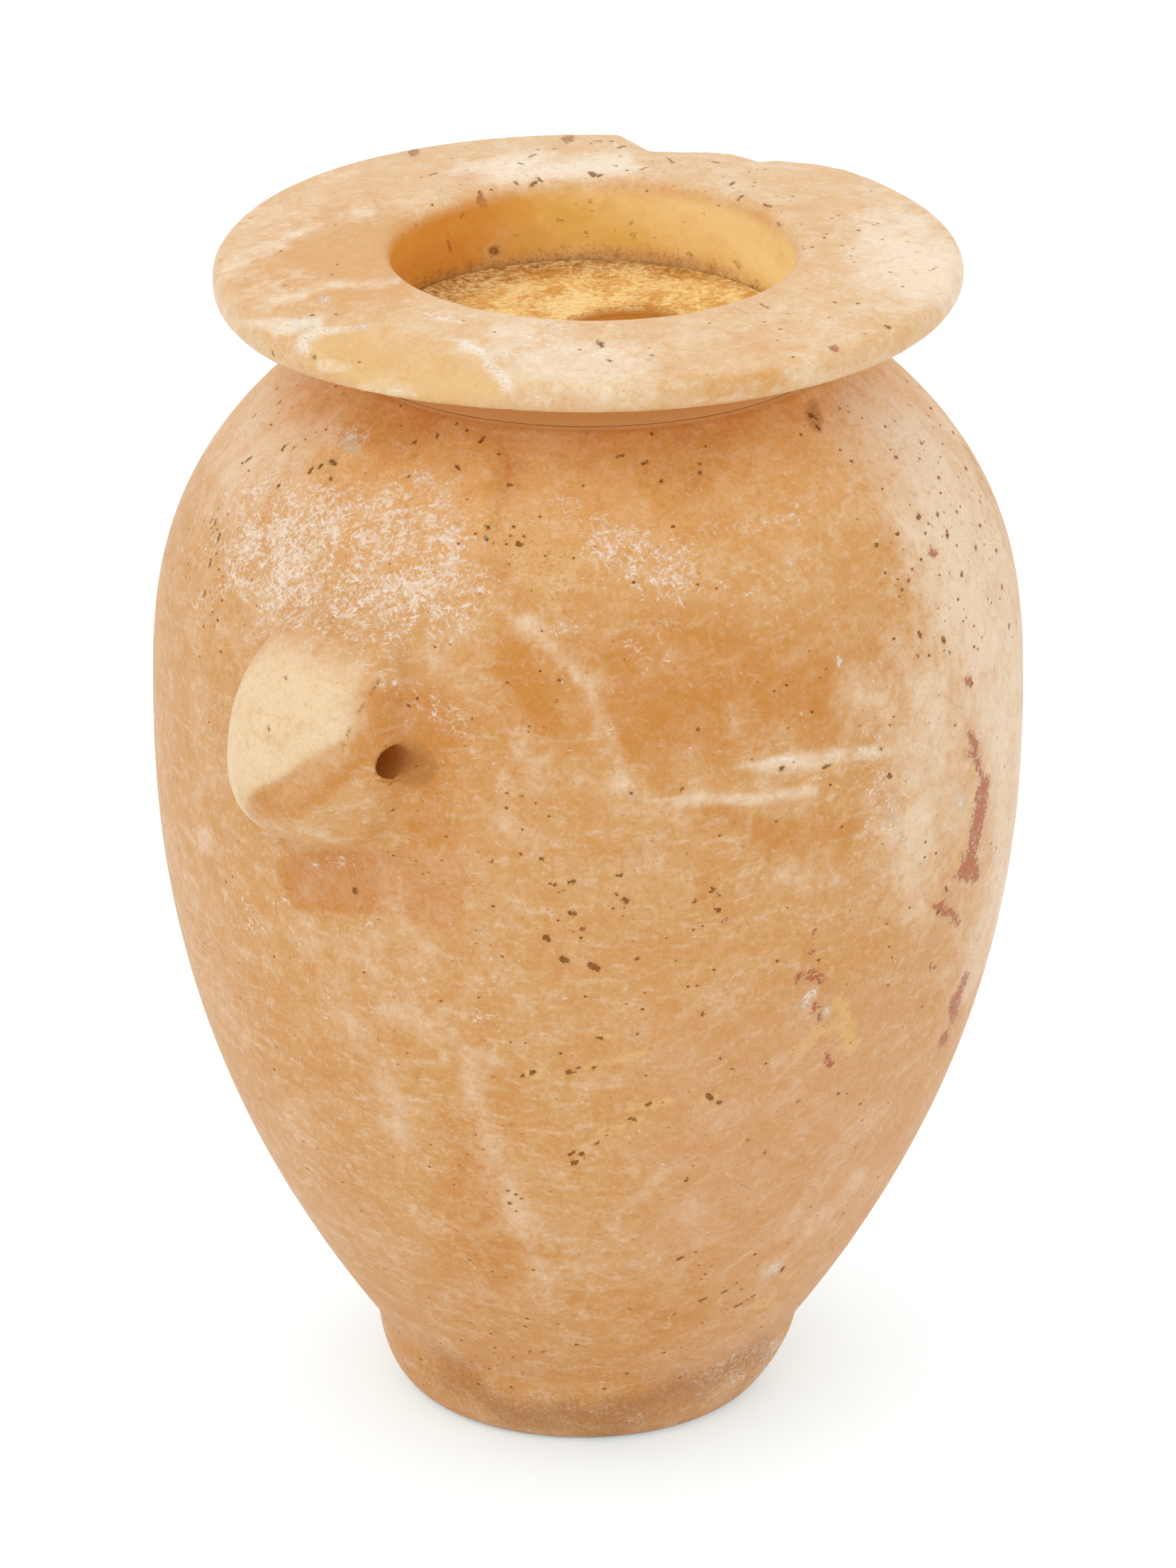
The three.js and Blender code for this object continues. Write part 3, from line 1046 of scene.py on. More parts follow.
# Small crisp marks as (x, y, x, y, half width in mm): a capsule between two photo pixels
bodySpecks = {
    "rust": [
        (1364, 958, 1366, 966, 0.35), (1368, 1034, 1370, 1042, 0.4), (1371, 1046, 1374, 1052, 0.45),
        (1388, 1100, 1384, 1122, 0.5), (1384, 1122, 1377, 1155, 0.65), (1377, 1155, 1373, 1190, 0.55),
        (1367, 1210, 1366, 1234, 1.1), (1352, 1238, 1374, 1240, 0.4), (1371, 1060, 1380, 1090, 0.3),
        (1330, 1280, 1336, 1290, 0.75), (1340, 1290, 1347, 1303, 0.5), (1322, 1280, 1326, 1286, 0.3),
        (1366, 1372, 1352, 1402, 0.25), (1350, 1405, 1344, 1430, 0.55), (1336, 1455, 1330, 1470, 0.35),
        (1143, 1314, 1146, 1318, 0.35), (1146, 1342, 1148, 1344, 0.2), (1125, 1380, 1132, 1376, 0.4),
        (1146, 1374, 1156, 1380, 0.6), (1150, 1420, 1155, 1427, 0.5), (1158, 1440, 1164, 1444, 0.3),
        (1168, 1492, 1173, 1499, 0.4), (1316, 1364, 1318, 1370, 0.2), (1316, 774, 1317, 780, 0.35),
        (1018, 1300, 1024, 1294, 0.15),
    ],
    "ochre": [
        (1370, 1076, 1373, 1088, 0.3), (1371, 1118, 1373, 1126, 0.25), (1366, 1142, 1368, 1150, 0.3),
        (1347, 1210, 1350, 1224, 0.4), (1340, 1285, 1343, 1300, 0.3), (1368, 1276, 1370, 1286, 0.3),
        (1255, 1275, 1262, 1278, 0.35), (1185, 1415, 1196, 1440, 1.2), (1192, 1450, 1202, 1475, 1.1),
        (1152, 1458, 1170, 1452, 0.8), (1124, 1482, 1140, 1474, 0.8), (742, 1516, 764, 1510, 0.5),
        (820, 1508, 838, 1504, 0.4), (845, 1504, 878, 1496, 0.3), (880, 1496, 912, 1489, 0.55),
        (852, 1596, 880, 1592, 0.75), (896, 1584, 912, 1580, 0.45), (888, 1564, 950, 1552, 0.45),
        (990, 1552, 1012, 1546, 0.5), (848, 1464, 872, 1462, 0.3), (1064, 1845, 1088, 1835, 0.4),
        (1110, 1806, 1120, 1800, 0.3), (442, 660, 474, 652, 0.8), (1166, 1083, 1178, 1079, 0.25),
    ],
    "chalk": [
        (1141, 1406, 1149, 1396, 0.5), (1128, 1420, 1135, 1414, 0.55), (1165, 1430, 1172, 1424, 0.45),
        (1086, 1792, 1100, 1784, 0.4), (1356, 1120, 1358, 1140, 0.3), (890, 1124, 893, 1126, 0.3),
        (1185, 922, 1187, 936, 0.06), (1240, 1038, 1246, 1056, 0.08), (1254, 1144, 1262, 1154, 0.3),
        (480, 622, 495, 612, 0.5), (489, 626, 500, 630, 0.5),
    ],
    "slate": [
        (685, 758, 687, 761, 0.45), (1396, 788, 1396, 790, 0.25), (664, 1328, 690, 1300, 0.07),
        (690, 1300, 727, 1270, 0.07), (1044, 1670, 1060, 1678, 0.1),
    ],
    "pit": [
        (537, 955, 520, 985, 0.06), (516, 990, 505, 1005, 0.06), (494, 1026, 488, 1042, 0.07),
        (486, 1046, 483, 1060, 0.06), (530, 1100, 552, 1104, 0.08), (545, 1108, 566, 1099, 0.06),
        (378, 1026, 380, 1030, 0.2), (402, 955, 404, 957, 0.12), (437, 666, 441, 660, 0.35),
        (450, 660, 456, 655, 0.3), (466, 650, 474, 655, 0.35), (466, 674, 467, 678, 0.25),
        (307, 764, 310, 754, 0.28), (303, 740, 305, 733, 0.22), (295, 800, 298, 790, 0.2),
        (287, 842, 290, 834, 0.2), (392, 687, 394, 684, 0.28), (398, 635, 402, 629, 0.3),
        (346, 652, 356, 644, 0.2), (392, 570, 396, 566, 0.22), (358, 588, 361, 584, 0.22),
        (582, 626, 586, 623, 0.28), (616, 618, 617, 612, 0.2), (678, 624, 682, 616, 0.28),
        (643, 598, 645, 597, 0.2), (644, 656, 647, 662, 0.22), (718, 683, 720, 684, 0.25),
        (575, 673, 578, 671, 0.2), (686, 742, 690, 746, 0.25), (730, 766, 734, 770, 0.4),
        (988, 666, 989, 668, 0.35), (930, 680, 934, 679, 0.25), (870, 645, 880, 641, 0.2),
        (905, 655, 914, 651, 0.2), (1144, 586, 1148, 590, 0.6), (1153, 602, 1155, 604, 0.45),
        (1235, 770, 1237, 768, 0.3), (1265, 754, 1267, 752, 0.3), (1295, 731, 1297, 727, 0.4),
        (1322, 727, 1323, 724, 0.3), (1336, 757, 1337, 754, 0.28), (1376, 774, 1377, 771, 0.3),
        (1405, 778, 1406, 775, 0.3), (1382, 743, 1383, 740, 0.25), (1356, 812, 1357, 809, 0.28),
        (1281, 820, 1283, 818, 0.3), (1413, 830, 1414, 827, 0.28), (1423, 886, 1424, 881, 0.28),
        (1296, 892, 1298, 898, 0.4), (1330, 900, 1332, 905, 0.45), (1339, 920, 1340, 922, 0.25),
        (1294, 924, 1295, 926, 0.2), (1344, 611, 1345, 609, 0.25), (1362, 662, 1363, 659, 0.28),
        (1263, 646, 1265, 644, 0.22), (1200, 651, 1202, 650, 0.22), (1299, 626, 1301, 624, 0.22),
        (1324, 675, 1325, 673, 0.28), (1312, 577, 1314, 575, 0.22), (1156, 958, 1158, 957, 0.15),
        (1102, 1083, 1104, 1084, 0.35), (1161, 1083, 1172, 1079, 0.2), (1254, 1093, 1256, 1096, 0.35),
        (1242, 1055, 1243, 1057, 0.22), (984, 1028, 985, 1030, 0.2), (960, 1116, 963, 1112, 0.2),
        (920, 1185, 921, 1186, 0.14), (870, 1235, 877, 1235, 0.25), (803, 1245, 809, 1244, 0.35),
        (780, 1249, 784, 1247, 0.2), (880, 1269, 884, 1271, 0.38), (869, 1261, 871, 1263, 0.25),
        (804, 1287, 810, 1289, 0.4), (820, 1310, 822, 1310, 0.3), (1004, 1253, 1008, 1255, 0.2),
        (1013, 1262, 1015, 1263, 0.18), (1011, 1283, 1015, 1285, 0.3), (979, 1273, 982, 1270, 0.18),
        (763, 1211, 765, 1212, 0.3), (769, 1322, 774, 1326, 0.45), (793, 1352, 799, 1356, 0.55),
        (833, 1361, 843, 1366, 0.6), (897, 1353, 901, 1353, 0.25), (736, 1123, 737, 1124, 0.2),
        (693, 1215, 694, 1216, 0.2), (500, 1255, 502, 1258, 0.5), (734, 1204, 735, 1205, 0.2),
        (737, 1519, 739, 1517, 0.28), (748, 1514, 754, 1511, 0.35), (801, 1513, 808, 1510, 0.5),
        (814, 1509, 819, 1507, 0.28), (836, 1507, 840, 1505, 0.22), (842, 1464, 850, 1465, 0.22),
        (899, 1458, 901, 1457, 0.15), (991, 1428, 992, 1432, 0.25), (999, 1545, 1004, 1550, 0.5),
        (1012, 1555, 1016, 1556, 0.22), (913, 1560, 917, 1555, 0.35), (888, 1578, 898, 1580, 0.25),
        (804, 1630, 810, 1626, 0.45), (808, 1641, 814, 1638, 0.5), (820, 1626, 822, 1634, 0.35),
        (841, 1614, 843, 1612, 0.22), (719, 1587, 720, 1587, 0.13), (718, 1698, 722, 1697, 0.2),
        (734, 1691, 739, 1690, 0.14), (694, 1519, 697, 1519, 0.15), (956, 1777, 961, 1774, 0.4),
        (1102, 1793, 1105, 1788, 0.35), (1018, 1824, 1026, 1820, 0.22), (987, 1835, 997, 1831, 0.28),
        (1038, 1843, 1046, 1839, 0.32), (1060, 1830, 1065, 1827, 0.2), (1123, 1555, 1125, 1554, 0.16),
        (1055, 1607, 1056, 1608, 0.16), (1078, 1626, 1079, 1627, 0.18), (1334, 1251, 1336, 1257, 0.25),
        (1322, 1289, 1324, 1285, 0.25), (1300, 1420, 1301, 1421, 0.18), (950, 1855, 952, 1854, 0.18),
        (764, 1908, 768, 1907, 0.2), (745, 1910, 747, 1909, 0.15),
    ],
}
# Where fine pits crowd: share of the stone's cells that hold one, middle and spread in photo pixels
bodySwarms = [
    (0.36, (1330, 790), (90, 130)), (0.28, (1310, 630), (70, 60)), (0.3, (310, 790), (30, 90)),
    (0.22, (400, 600), (60, 60)), (0.26, (640, 620), (100, 28)), (0.2, (870, 1270), (130, 60)),
    (0.5, (750, 800), (50, 70)), (0.3, (930, 665), (70, 26)), (0.34, (1200, 590), (60, 40)),
    (0.26, (1240, 860), (70, 60)), (0.14, (830, 1560), (180, 60)), (0.16, (1020, 1800), (90, 50)),
    (0.06, (850, 1250), (500, 560)), (0.16, (760, 1920), (180, 50)), (0.03, (430, 1000), (50, 70)),
]
rimPatches = {
    "honey": [
        (1.0, 24, [(330, 400), (380, 330), (470, 290), (560, 290), (600, 320), (570, 400), (500, 440),
            (350, 430)]),
        (0.25, 14, [(395, 472), (510, 470), (590, 480), (640, 490), (690, 520), (712, 545), (760, 568),
            (700, 585), (500, 545), (420, 505)]),
        (0.6, 16, [(1030, 440), (1100, 440), (1180, 480), (1160, 505), (1100, 505), (1040, 480)]),
        (0.8, 10, [(990, 535), (1100, 518), (1110, 545), (1000, 565)]),
        (0.7, 12, [(640, 290), (700, 266), (840, 254), (960, 266), (1080, 305), (1110, 350), (1000, 300),
            (700, 290)]),
    ],
    "cream": [
        (0.45, 18, [(640, 476), (720, 460), (860, 470), (960, 470), (970, 510), (930, 540), (860, 570),
            (808, 578), (748, 560), (714, 540), (697, 515), (666, 498)]),
        (0.9, 12, [(620, 240), (760, 215), (880, 215), (905, 238), (820, 250), (711, 256)]),
        # Paler at the rim's right: partly the stone's own cream, partly painted light
        (0.9, 24, [(1220, 300), (1340, 330), (1350, 400), (1320, 440), (1240, 440), (1200, 400)]),
        (0.7, 5, [(340, 450), (455, 448), (455, 468), (390, 470)]),
        (0.8, 3, [(442, 510), (470, 506), (498, 512), (496, 525), (455, 526)]),
        (0.7, 6, [(500, 545), (545, 528), (580, 540), (590, 562), (540, 562)]),
    ],
    "frost": [
        (0.4, 5, [(335, 452), (400, 450), (455, 452), (455, 466), (345, 466)]),
        (1.0, 3, [(504, 453), (519, 453), (519, 463), (504, 463)]),
        (0.8, 5, [(590, 435), (640, 440), (640, 455), (600, 450)]),
        (1.1, 6, [(632, 472), (668, 476), (694, 500), (697, 512), (684, 508), (650, 492)]),
        (0.7, 18, [(700, 470), (800, 440), (880, 440), (800, 470), (730, 520), (700, 500)]),
        (0.7, 6, [(507, 545), (545, 528), (580, 540), (587, 560), (540, 558)]),
        (0.6, 14, [(720, 480), (860, 480), (860, 520), (760, 530)]),
        (0.6, 10, [(711, 226), (905, 226), (905, 248), (711, 250)]),
        (0.4, 20, [(560, 420), (720, 450), (700, 470), (560, 440)]),
    ],
    "rose": [
        (0.6, 16, [(590, 215), (660, 230), (690, 270), (660, 290), (610, 250)]),
    ],
    "soilAndShade": [
        # Soil and painted shade in the corner where the mouth's far wall meets the floor
        (1.0, 7, [(682, 345), (705, 340), (712, 362), (690, 366)]),
        (0.5, 10, [(700, 325), (725, 318), (715, 345), (700, 350)]),
        (0.7, 9, [(600, 402), (700, 368), (830, 348), (960, 358), (1060, 392), (940, 378), (830, 366),
            (700, 388)]),
    ],
    "grit": [
        (0.8, 10, [(600, 398), (700, 362), (830, 342), (960, 352), (1060, 388), (940, 372), (830, 360),
            (700, 382)]),
        (0.5, 14, [(940, 340), (1010, 345), (1050, 370), (1000, 370)]),
    ],
    "slant": [
        (1.0, 30, [(280, 240), (620, 240), (620, 480), (280, 480)]),
    ],
}
rimLines = {
    "frost": [
        (0.7, 3, 5, [(636, 474), (666, 497), (697, 514), (714, 538), (748, 559), (808, 577)]),
        (0.5, 2, 4, [(858, 249), (900, 292), (941, 332)]),
    ],
    "cream": [
        (0.5, 8, 10, [(320, 380), (420, 330), (520, 300)]),
        (0.5, 6, 8, [(360, 430), (470, 400), (560, 395)]),
    ],
}
rimSpecks = {
    "rust": [
        (584, 214, 588, 212, 0.4), (679, 276, 684, 290, 0.4), (799, 194, 803, 195, 0.5),
        (1176, 490, 1182, 488, 0.3), (846, 482, 850, 485, 0.2),
    ],
    "ochre": [
        (795, 195, 806, 193, 0.6), (440, 500, 444, 504, 0.5),
    ],
    "chalk": [
        (452, 422, 464, 420, 0.25), (390, 455, 392, 464, 0.15), (418, 452, 420, 464, 0.2),
        (436, 450, 438, 462, 0.15), (509, 458, 515, 458, 0.3),
    ],
    "slate": [
        (1032, 432, 1058, 443, 0.12), (1040, 437, 1060, 445, 0.1),
    ],
    "pit": [
        (833, 243, 838, 248, 0.6), (842, 250, 848, 246, 0.35), (748, 262, 758, 256, 0.3),
        (757, 250, 763, 256, 0.2), (726, 256, 729, 260, 0.2), (733, 230, 737, 232, 0.2),
        (745, 222, 757, 217, 0.18), (871, 210, 883, 206, 0.25), (838, 199, 850, 199, 0.18),
        (605, 248, 616, 244, 0.2), (787, 310, 793, 311, 0.3), (826, 327, 828, 329, 0.25),
        (892, 331, 894, 334, 0.4), (889, 316, 891, 313, 0.25), (832, 282, 834, 286, 0.25),
        (694, 352, 700, 356, 0.6), (631, 338, 637, 356, 0.2), (651, 305, 654, 301, 0.2),
        (940, 222, 952, 231, 0.18), (903, 240, 912, 236, 0.2), (1004, 228, 1008, 229, 0.25),
        (1030, 262, 1036, 256, 0.25), (1042, 282, 1048, 276, 0.25), (1078, 288, 1088, 292, 0.3),
        (1097, 315, 1100, 318, 0.2), (1250, 460, 1254, 462, 0.4), (847, 483, 849, 490, 0.25),
        (858, 508, 862, 510, 0.25), (919, 500, 922, 502, 0.2), (384, 496, 386, 500, 0.2),
        (442, 503, 444, 505, 0.3), (473, 443, 475, 444, 0.2), (992, 300, 994, 303, 0.2),
        (1036, 370, 1044, 376, 0.35), (970, 357, 976, 360, 0.3), (1072, 428, 1086, 436, 0.15),
    ],
}
rimSwarms = [
    (0.4, (880, 225), (130, 34)), (0.34, (1040, 285), (60, 40)), (0.2, (1170, 330), (100, 60)),
    (0.26, (700, 250), (80, 25)), (0.07, (420, 330), (120, 70)), (0.1, (850, 510), (150, 30)),
    (0.14, (1150, 450), (90, 40)), (0.2, (690, 340), (60, 30)), (0.16, (900, 310), (120, 40)),
]

# Marks of the same kinds for the sides that the photo doesn't show. A patch is (count, sizes in mm,
# strengths) and a speck is (count, half widths, lengths).
hiddenMarks = {
    "seed": 11,
    "patches": {
        "honey": (16, (6, 16), (0.5, 1.0)),
        "cream": (14, (5, 16), (0.25, 0.6)),
        "frost": (9, (6, 16), (0.5, 0.95)),
        "rose": (4, (3, 6), (0.3, 0.7)),
        "soilAndShade": (6, (2, 5), (0.4, 0.9)),
        "grit": (4, (3, 6), (0.5, 1.0)),
        "slant": (3, (20, 34), (0.8, 1.0)),
        "swarm": (9, (6, 16), (0.12, 0.4)),
        "rust": (9, (1.2, 3.5), (0.6, 0.95)),
        "ochre": (14, (1.0, 2.5), (0.6, 0.95)),
        "chalk": (7, (0.8, 1.8), (0.6, 0.9)),
    },
    "specks": {"pit": (60, (0.12, 0.4), (0.0, 0.7))},
}
softKinds = ("honey", "cream", "frost", "rose", "soilAndShade", "grit", "slant", "facet", "swarm")
crumbKinds = ("rust", "ochre", "chalk")
speckKinds = ("slate", "pit")
painting = {
    "border": 1.8,
    "borderLimit": 14,
    "wobble": 2.4,
    "plainWobble": 0.5,
    "hiddenWobble": 2.5,
    "wobbleSize": 11.0,
    "crumbWider": 3.5,
    "crumbBorder": 5.0,
    "pixelsPerMm": 8.6,
    "seenFacing": (-0.04, 0.10),
    "hiddenFacing": -0.25,
    "hiddenBorder": (-0.7, 0.9),
    "hiddenStretch": 0.35,
    "speckReach": 2.6,
    "speckLimit": 9,
    "speckTrim": 0.1,
    "speckThinning": 0.85,
}


# The point of a piece, in mm, that shows at a photo pixel
def shownPoint(piece, x, y):
    ray = castOnPlane([(x, y)], 0)[0] - cameraPoint
    hit, place, _, _ = piece.ray_cast(Vector(cameraPoint * mm), Vector(ray).normalized())
    return np.array(place) / mm if hit else None


# Writes one mask for each soft kind of mark, from the drawn marks where the camera sees the stone and from
# random ones elsewhere
def paintSoftMarks(piece, marks, chooser):
    points = pointsOf(piece)
    facing = normalsOf(piece) @ towardsCamera
    seen = smoothStep(*painting["seenFacing"], facing)
    wobble = np.stack([waves(points, painting["wobbleSize"], 4, seed) for seed in (101, 102, 103)], 1)
    wavy = pixelsOf(points + painting["wobble"] * wobble)
    plain = pixelsOf(points + painting["plainWobble"] * wobble)
    hidden = np.where(facing < painting["hiddenFacing"])[0]
    for kind in softKinds + crumbKinds:
        field = np.zeros(len(points))
        for strength, border, corners in marks["patches"].get(kind, []):
            soft = border >= painting["borderLimit"]
            x, y = wavy if soft else plain
            border = border * painting["border"] if soft else border
            share = smoothStep(-border, border, insideBy(x, y, corners))
            field = np.maximum(field, strength * share)
        for strength, halfWidth, border, corners in marks["lines"].get(kind, []):
            gap = awayFromLine(*plain, corners) - halfWidth
            field = np.maximum(field, strength * (1 - smoothStep(-border, border, gap)))
        for ax, ay, bx, by, size in marks["specks"].get(kind, []):
            gap = awayFromLine(*plain, [(ax, ay), (bx, by)])
            gap = gap - size * painting["pixelsPerMm"] - painting["crumbWider"]
            border = painting["crumbBorder"]
            field = np.maximum(field, 1 - smoothStep(-border, border, gap))
        for share, middle, spread in marks["swarms"] if kind == "swarm" else ():
            away = ((wavy[0] - middle[0]) / spread[0]) ** 2 + ((wavy[1] - middle[1]) / spread[1]) ** 2
            field = np.maximum(field, share * np.exp(-away))
        field = field * seen
        count, sizes, strengths = hiddenMarks["patches"].get(kind, (0, 0, 0))
        for _ in range(count):
            middle = points[chooser.choice(hidden)]
            size = chooser.uniform(*sizes)
            strength = chooser.uniform(*strengths)
            stretch = np.exp(chooser.normal(0, painting["hiddenStretch"], 3))
            offset = points + painting["hiddenWobble"] * wobble - middle
            gap = np.linalg.norm(offset * stretch, axis=1) - size
            share = 1 - smoothStep(*painting["hiddenBorder"], gap / size)
            field = np.maximum(field, strength * share * (1 - seen))
        setMask(piece, kind, field)


def hiddenSpecks(kind, points, normals, chooser):
    count, sizes, lengths = hiddenMarks["specks"].get(kind, (0, 0, 0))
    hidden = np.where(normals @ towardsCamera < 0.0)[0]
    specks = []
    for _ in range(count):
        index = chooser.choice(hidden)
        across = np.cross(normals[index], chooser.normal(size=3))
        axis = across / max(np.linalg.norm(across), 1e-6) * chooser.uniform(*lengths) / 2
        specks.append((points[index] - axis, points[index] + axis, chooser.uniform(*sizes)))
    return specks


# The drawn specks of a kind as (start, end, half width) in mm, without those that miss the stone
def drawnSpecks(piece, drawn):
    trim = painting["speckTrim"]
    specks = []
    for ax, ay, bx, by, size in drawn:
        start = shownPoint(piece, ax, ay)
        end = shownPoint(piece, bx, by)
        if start is None or end is None or np.linalg.norm(end - start) >= painting["speckLimit"]:
            continue
        first = start * (1 - trim) + end * trim
        second = end * (1 - trim) + start * trim
        specks.append((first, second, size * painting["speckThinning"]))
    return specks


# Writes, for every point, the nearest speck of each kind: its middle, half axis and half width in mm. The
# square of the middle's length goes with them, by which the shader knows a face whose corners disagree.
def paintSpecks(piece, drawn, chooser):
    points = pointsOf(piece)
    normals = normalsOf(piece)
    reach = painting["speckReach"]
    for kind in speckKinds:
        specks = hiddenSpecks(kind, points, normals, chooser) + drawnSpecks(piece, drawn.get(kind, []))
        nearest = np.full(len(points), farAway)
        middle = np.zeros((len(points), 3))
        axis = np.zeros((len(points), 3))
        width = np.zeros(len(points))
        for start, end, size in specks:
            centre = (start + end) / 2
            half = (end - start) / 2
            limit = reach + size + np.linalg.norm(half)
            near = np.where(np.abs(points - centre).max(axis=1) < limit)[0]
            away = points[near] - centre
            along = np.clip(away @ half / max(half @ half, 1e-6), -1, 1)
            gap = np.linalg.norm(away - along[:, None] * half, axis=1) - size
            won = near[(gap < nearest[near]) & (gap < reach)]
            nearest[near] = np.minimum(nearest[near], gap)
            middle[won] = centre
            axis[won] = half
            width[won] = size
        for label, values in (("Middle", middle), ("Axis", axis)):
            layer = piece.data.attributes.new(kind + label, "FLOAT_VECTOR", "POINT")
            layer.data.foreach_set("vector", values.astype(np.float32).reshape(-1))
        setMask(piece, kind + "Width", width)
        setMask(piece, kind + "Square", (middle ** 2).sum(axis=1))


def paintPiece(piece, **marks):
    chooser = np.random.default_rng(hiddenMarks["seed"])
    paintSoftMarks(piece, marks, chooser)
    paintSpecks(piece, marks["specks"], chooser)


# Where the special finishes of body and rim lie. Lengths are in mm, a pair is where a soft border starts and
# ends, and a share is how much of the finish applies.
bodyZones = {
    "floorRise": (184.0, 184.6),
    "floorRadius": 34,
    # The floor in the mouth is darker towards its edge and to the left and back: dirt, and painted shade in
    # the corner where the floor meets the wall
    "darkAway": (27, 47),
    "darkLeft": 12,
    "darkBack": 8,
    # The stone is painted lighter under the rim, as painted light coming through the rim
    "underRim": (158, 181),
    "underRimShare": 0.8,
    "boreSlack": 0.3,
    "boreAbove": 30,
    "holeSlack": 0.35,
    "holeReach": 20,
    "holeRim": (15.0, 12.5),
    "holeRimShare": 0.4,
    "lugRise": (3.0, 9.0),
    "lugHalfHeight": 30,
}
rimZones = {
    "mouthRadius": 36.5,
    "mouthDrop": (-3.4, -0.6),
    "glowDrop": (-3.0, -0.2),
    "back": (-20, 25),
    # Dirt and painted shade low on the mouth wall where it meets the floor, more at the back
    "darkRise": (0.3, 7.0),
    "darkShare": 0.2,
    "backDarkShare": 0.5,
    # Painted light on the mouth wall: deep orange on the left, pale to the right and up to the lip
    "leftSide": (-2, -24),
    "paleSide": (-6, 26),
    "paleLift": 2.2,
    "paleFrom": 7,
    "neckRise": (9, 5),
}


def markBodyZones():
    zones = bodyZones
    places = pointsOf(body)
    x, y, z = places.T
    across = np.hypot(x, y)
    floorRadius = zones["floorRadius"]
    floor = smoothStep(*zones["floorRise"], z) * (across < floorRadius)
    towardsLeft = 0.5 - 0.5 * np.clip(places @ viewRight / floorRadius, -1, 1)
    towardsBack = np.clip(-(places[:, :2] @ towardsCamera[:2]) / floorRadius, -1, 1)
    darkAway = across + zones["darkLeft"] * towardsLeft + zones["darkBack"] * towardsBack
    boreX, boreY = bodyForm["boreOffset"]
    boreAway = np.hypot(x - boreX, y - boreY)
    insideBore = boreAway < bodyForm["boreRadius"] + zones["boreSlack"]
    insideBore &= (z > zones["boreAbove"]) & (z < spigotTop - bodyForm["spigotEdgeDrop"])
    holeRadii, holeMiddles = holePath(y)
    holeHeights = z - lugForm["height"] + lugForm["holeDrop"]
    holeGaps = np.hypot(np.abs(x) - holeMiddles, holeHeights) - holeRadii
    insideHole = (holeGaps < zones["holeSlack"]) & (np.abs(y) < zones["holeReach"])
    rimShare = zones["holeRimShare"]
    holeDepth = rimShare + (1 - rimShare) * smoothStep(*zones["holeRim"], np.abs(y))
    nearLug = np.abs(z - lugForm["height"]) < zones["lugHalfHeight"]
    setMask(body, "floor", floor)
    # Share of the painted light that makes the stone lighter under the rim
    setMask(body, "underRim", zones["underRimShare"] * smoothStep(*zones["underRim"], z))
    # Dirt and painted corner shade towards the floor's edge, left and back
    setMask(body, "floorDirtAndShade", floor * smoothStep(*zones["darkAway"], darkAway))
    setMask(body, "bore", insideBore.astype(float))
    setMask(body, "hole", insideHole * holeDepth)
    setMask(body, "lug", smoothStep(*zones["lugRise"], across - wallRadius(z)) * nearLug)


def markRimZones():
    zones = rimZones
    places = pointsOf(rim)
    above = places[:, 2] - ringBase
    below = places[:, 2] - vesselHeight
    rightward = places @ viewRight
    inMouth = np.hypot(places[:, 0], places[:, 1]) < zones["mouthRadius"]
    back = smoothStep(*zones["back"], -(places[:, :2] @ towardsCamera[:2]))
    low = 1 - smoothStep(*zones["darkRise"], above)
    pale = rightward + zones["paleLift"] * (below + zones["paleFrom"])
    setMask(rim, "mouth", (1 - smoothStep(*zones["mouthDrop"], below)) * inMouth)
    # Dirt and painted corner shade low on the mouth wall, more at the back
    setMask(rim, "mouthDirtAndShade", low * inMouth * (zones["darkShare"] + zones["backDarkShare"] * back))
    setMask(rim, "mouthDepth", (1 - smoothStep(*zones["glowDrop"], below)) * inMouth)
    # Shares of the painted light on the mouth wall: deep orange on the left, pale to the right and up to the
    # lip
    setMask(rim, "mouthSide", smoothStep(*zones["leftSide"], rightward))
    setMask(rim, "mouthPale", smoothStep(*zones["paleSide"], pale))
    setMask(rim, "neck", smoothStep(*zones["neckRise"], above) * ~inMouth)


paintPiece(body, patches=bodyPatches, lines=bodyLines, specks=bodySpecks, swarms=bodySwarms)
markBodyZones()
print("body marks placed")
paintPiece(rim, patches=rimPatches, lines=rimLines, specks=rimSpecks, swarms=rimSwarms)
markRimZones()
print("rim marks placed")


# Materials
def srgb(red, green, blue):
    def linear(value):
        value = value / 255
        return value / 12.92 if value <= 0.04045 else ((value + 0.055) / 1.055) ** 2.4
    return (linear(red), linear(green), linear(blue), 1.0)


def addNode(tree, kind, **settings):
    node = tree.nodes.new(kind)
    for name, value in settings.items():
        setattr(node, name, value)
    return node


# Plugs a socket, or sets it where the value is a plain number or colour
def feed(tree, socket, value):
    if isinstance(value, bpy.types.NodeSocket):
        tree.links.new(value, socket)
    else:
        socket.default_value = value


def maths(tree, operation, first, second=0.0, third=0.0, clamp=False):
    node = addNode(tree, "ShaderNodeMath", operation=operation, use_clamp=clamp)
    for socket, value in zip(node.inputs, (first, second, third)):
        feed(tree, socket, value)
    return node.outputs[0]


def vectors(tree, operation, first, second=None, scale=None):
    node = addNode(tree, "ShaderNodeVectorMath", operation=operation)
    feed(tree, node.inputs[0], first)
    if second is not None:
        feed(tree, node.inputs[1], second)
    if scale is not None:
        feed(tree, node.inputs["Scale"], scale)
    return node.outputs["Value" if operation in ("DOT_PRODUCT", "LENGTH") else "Vector"]


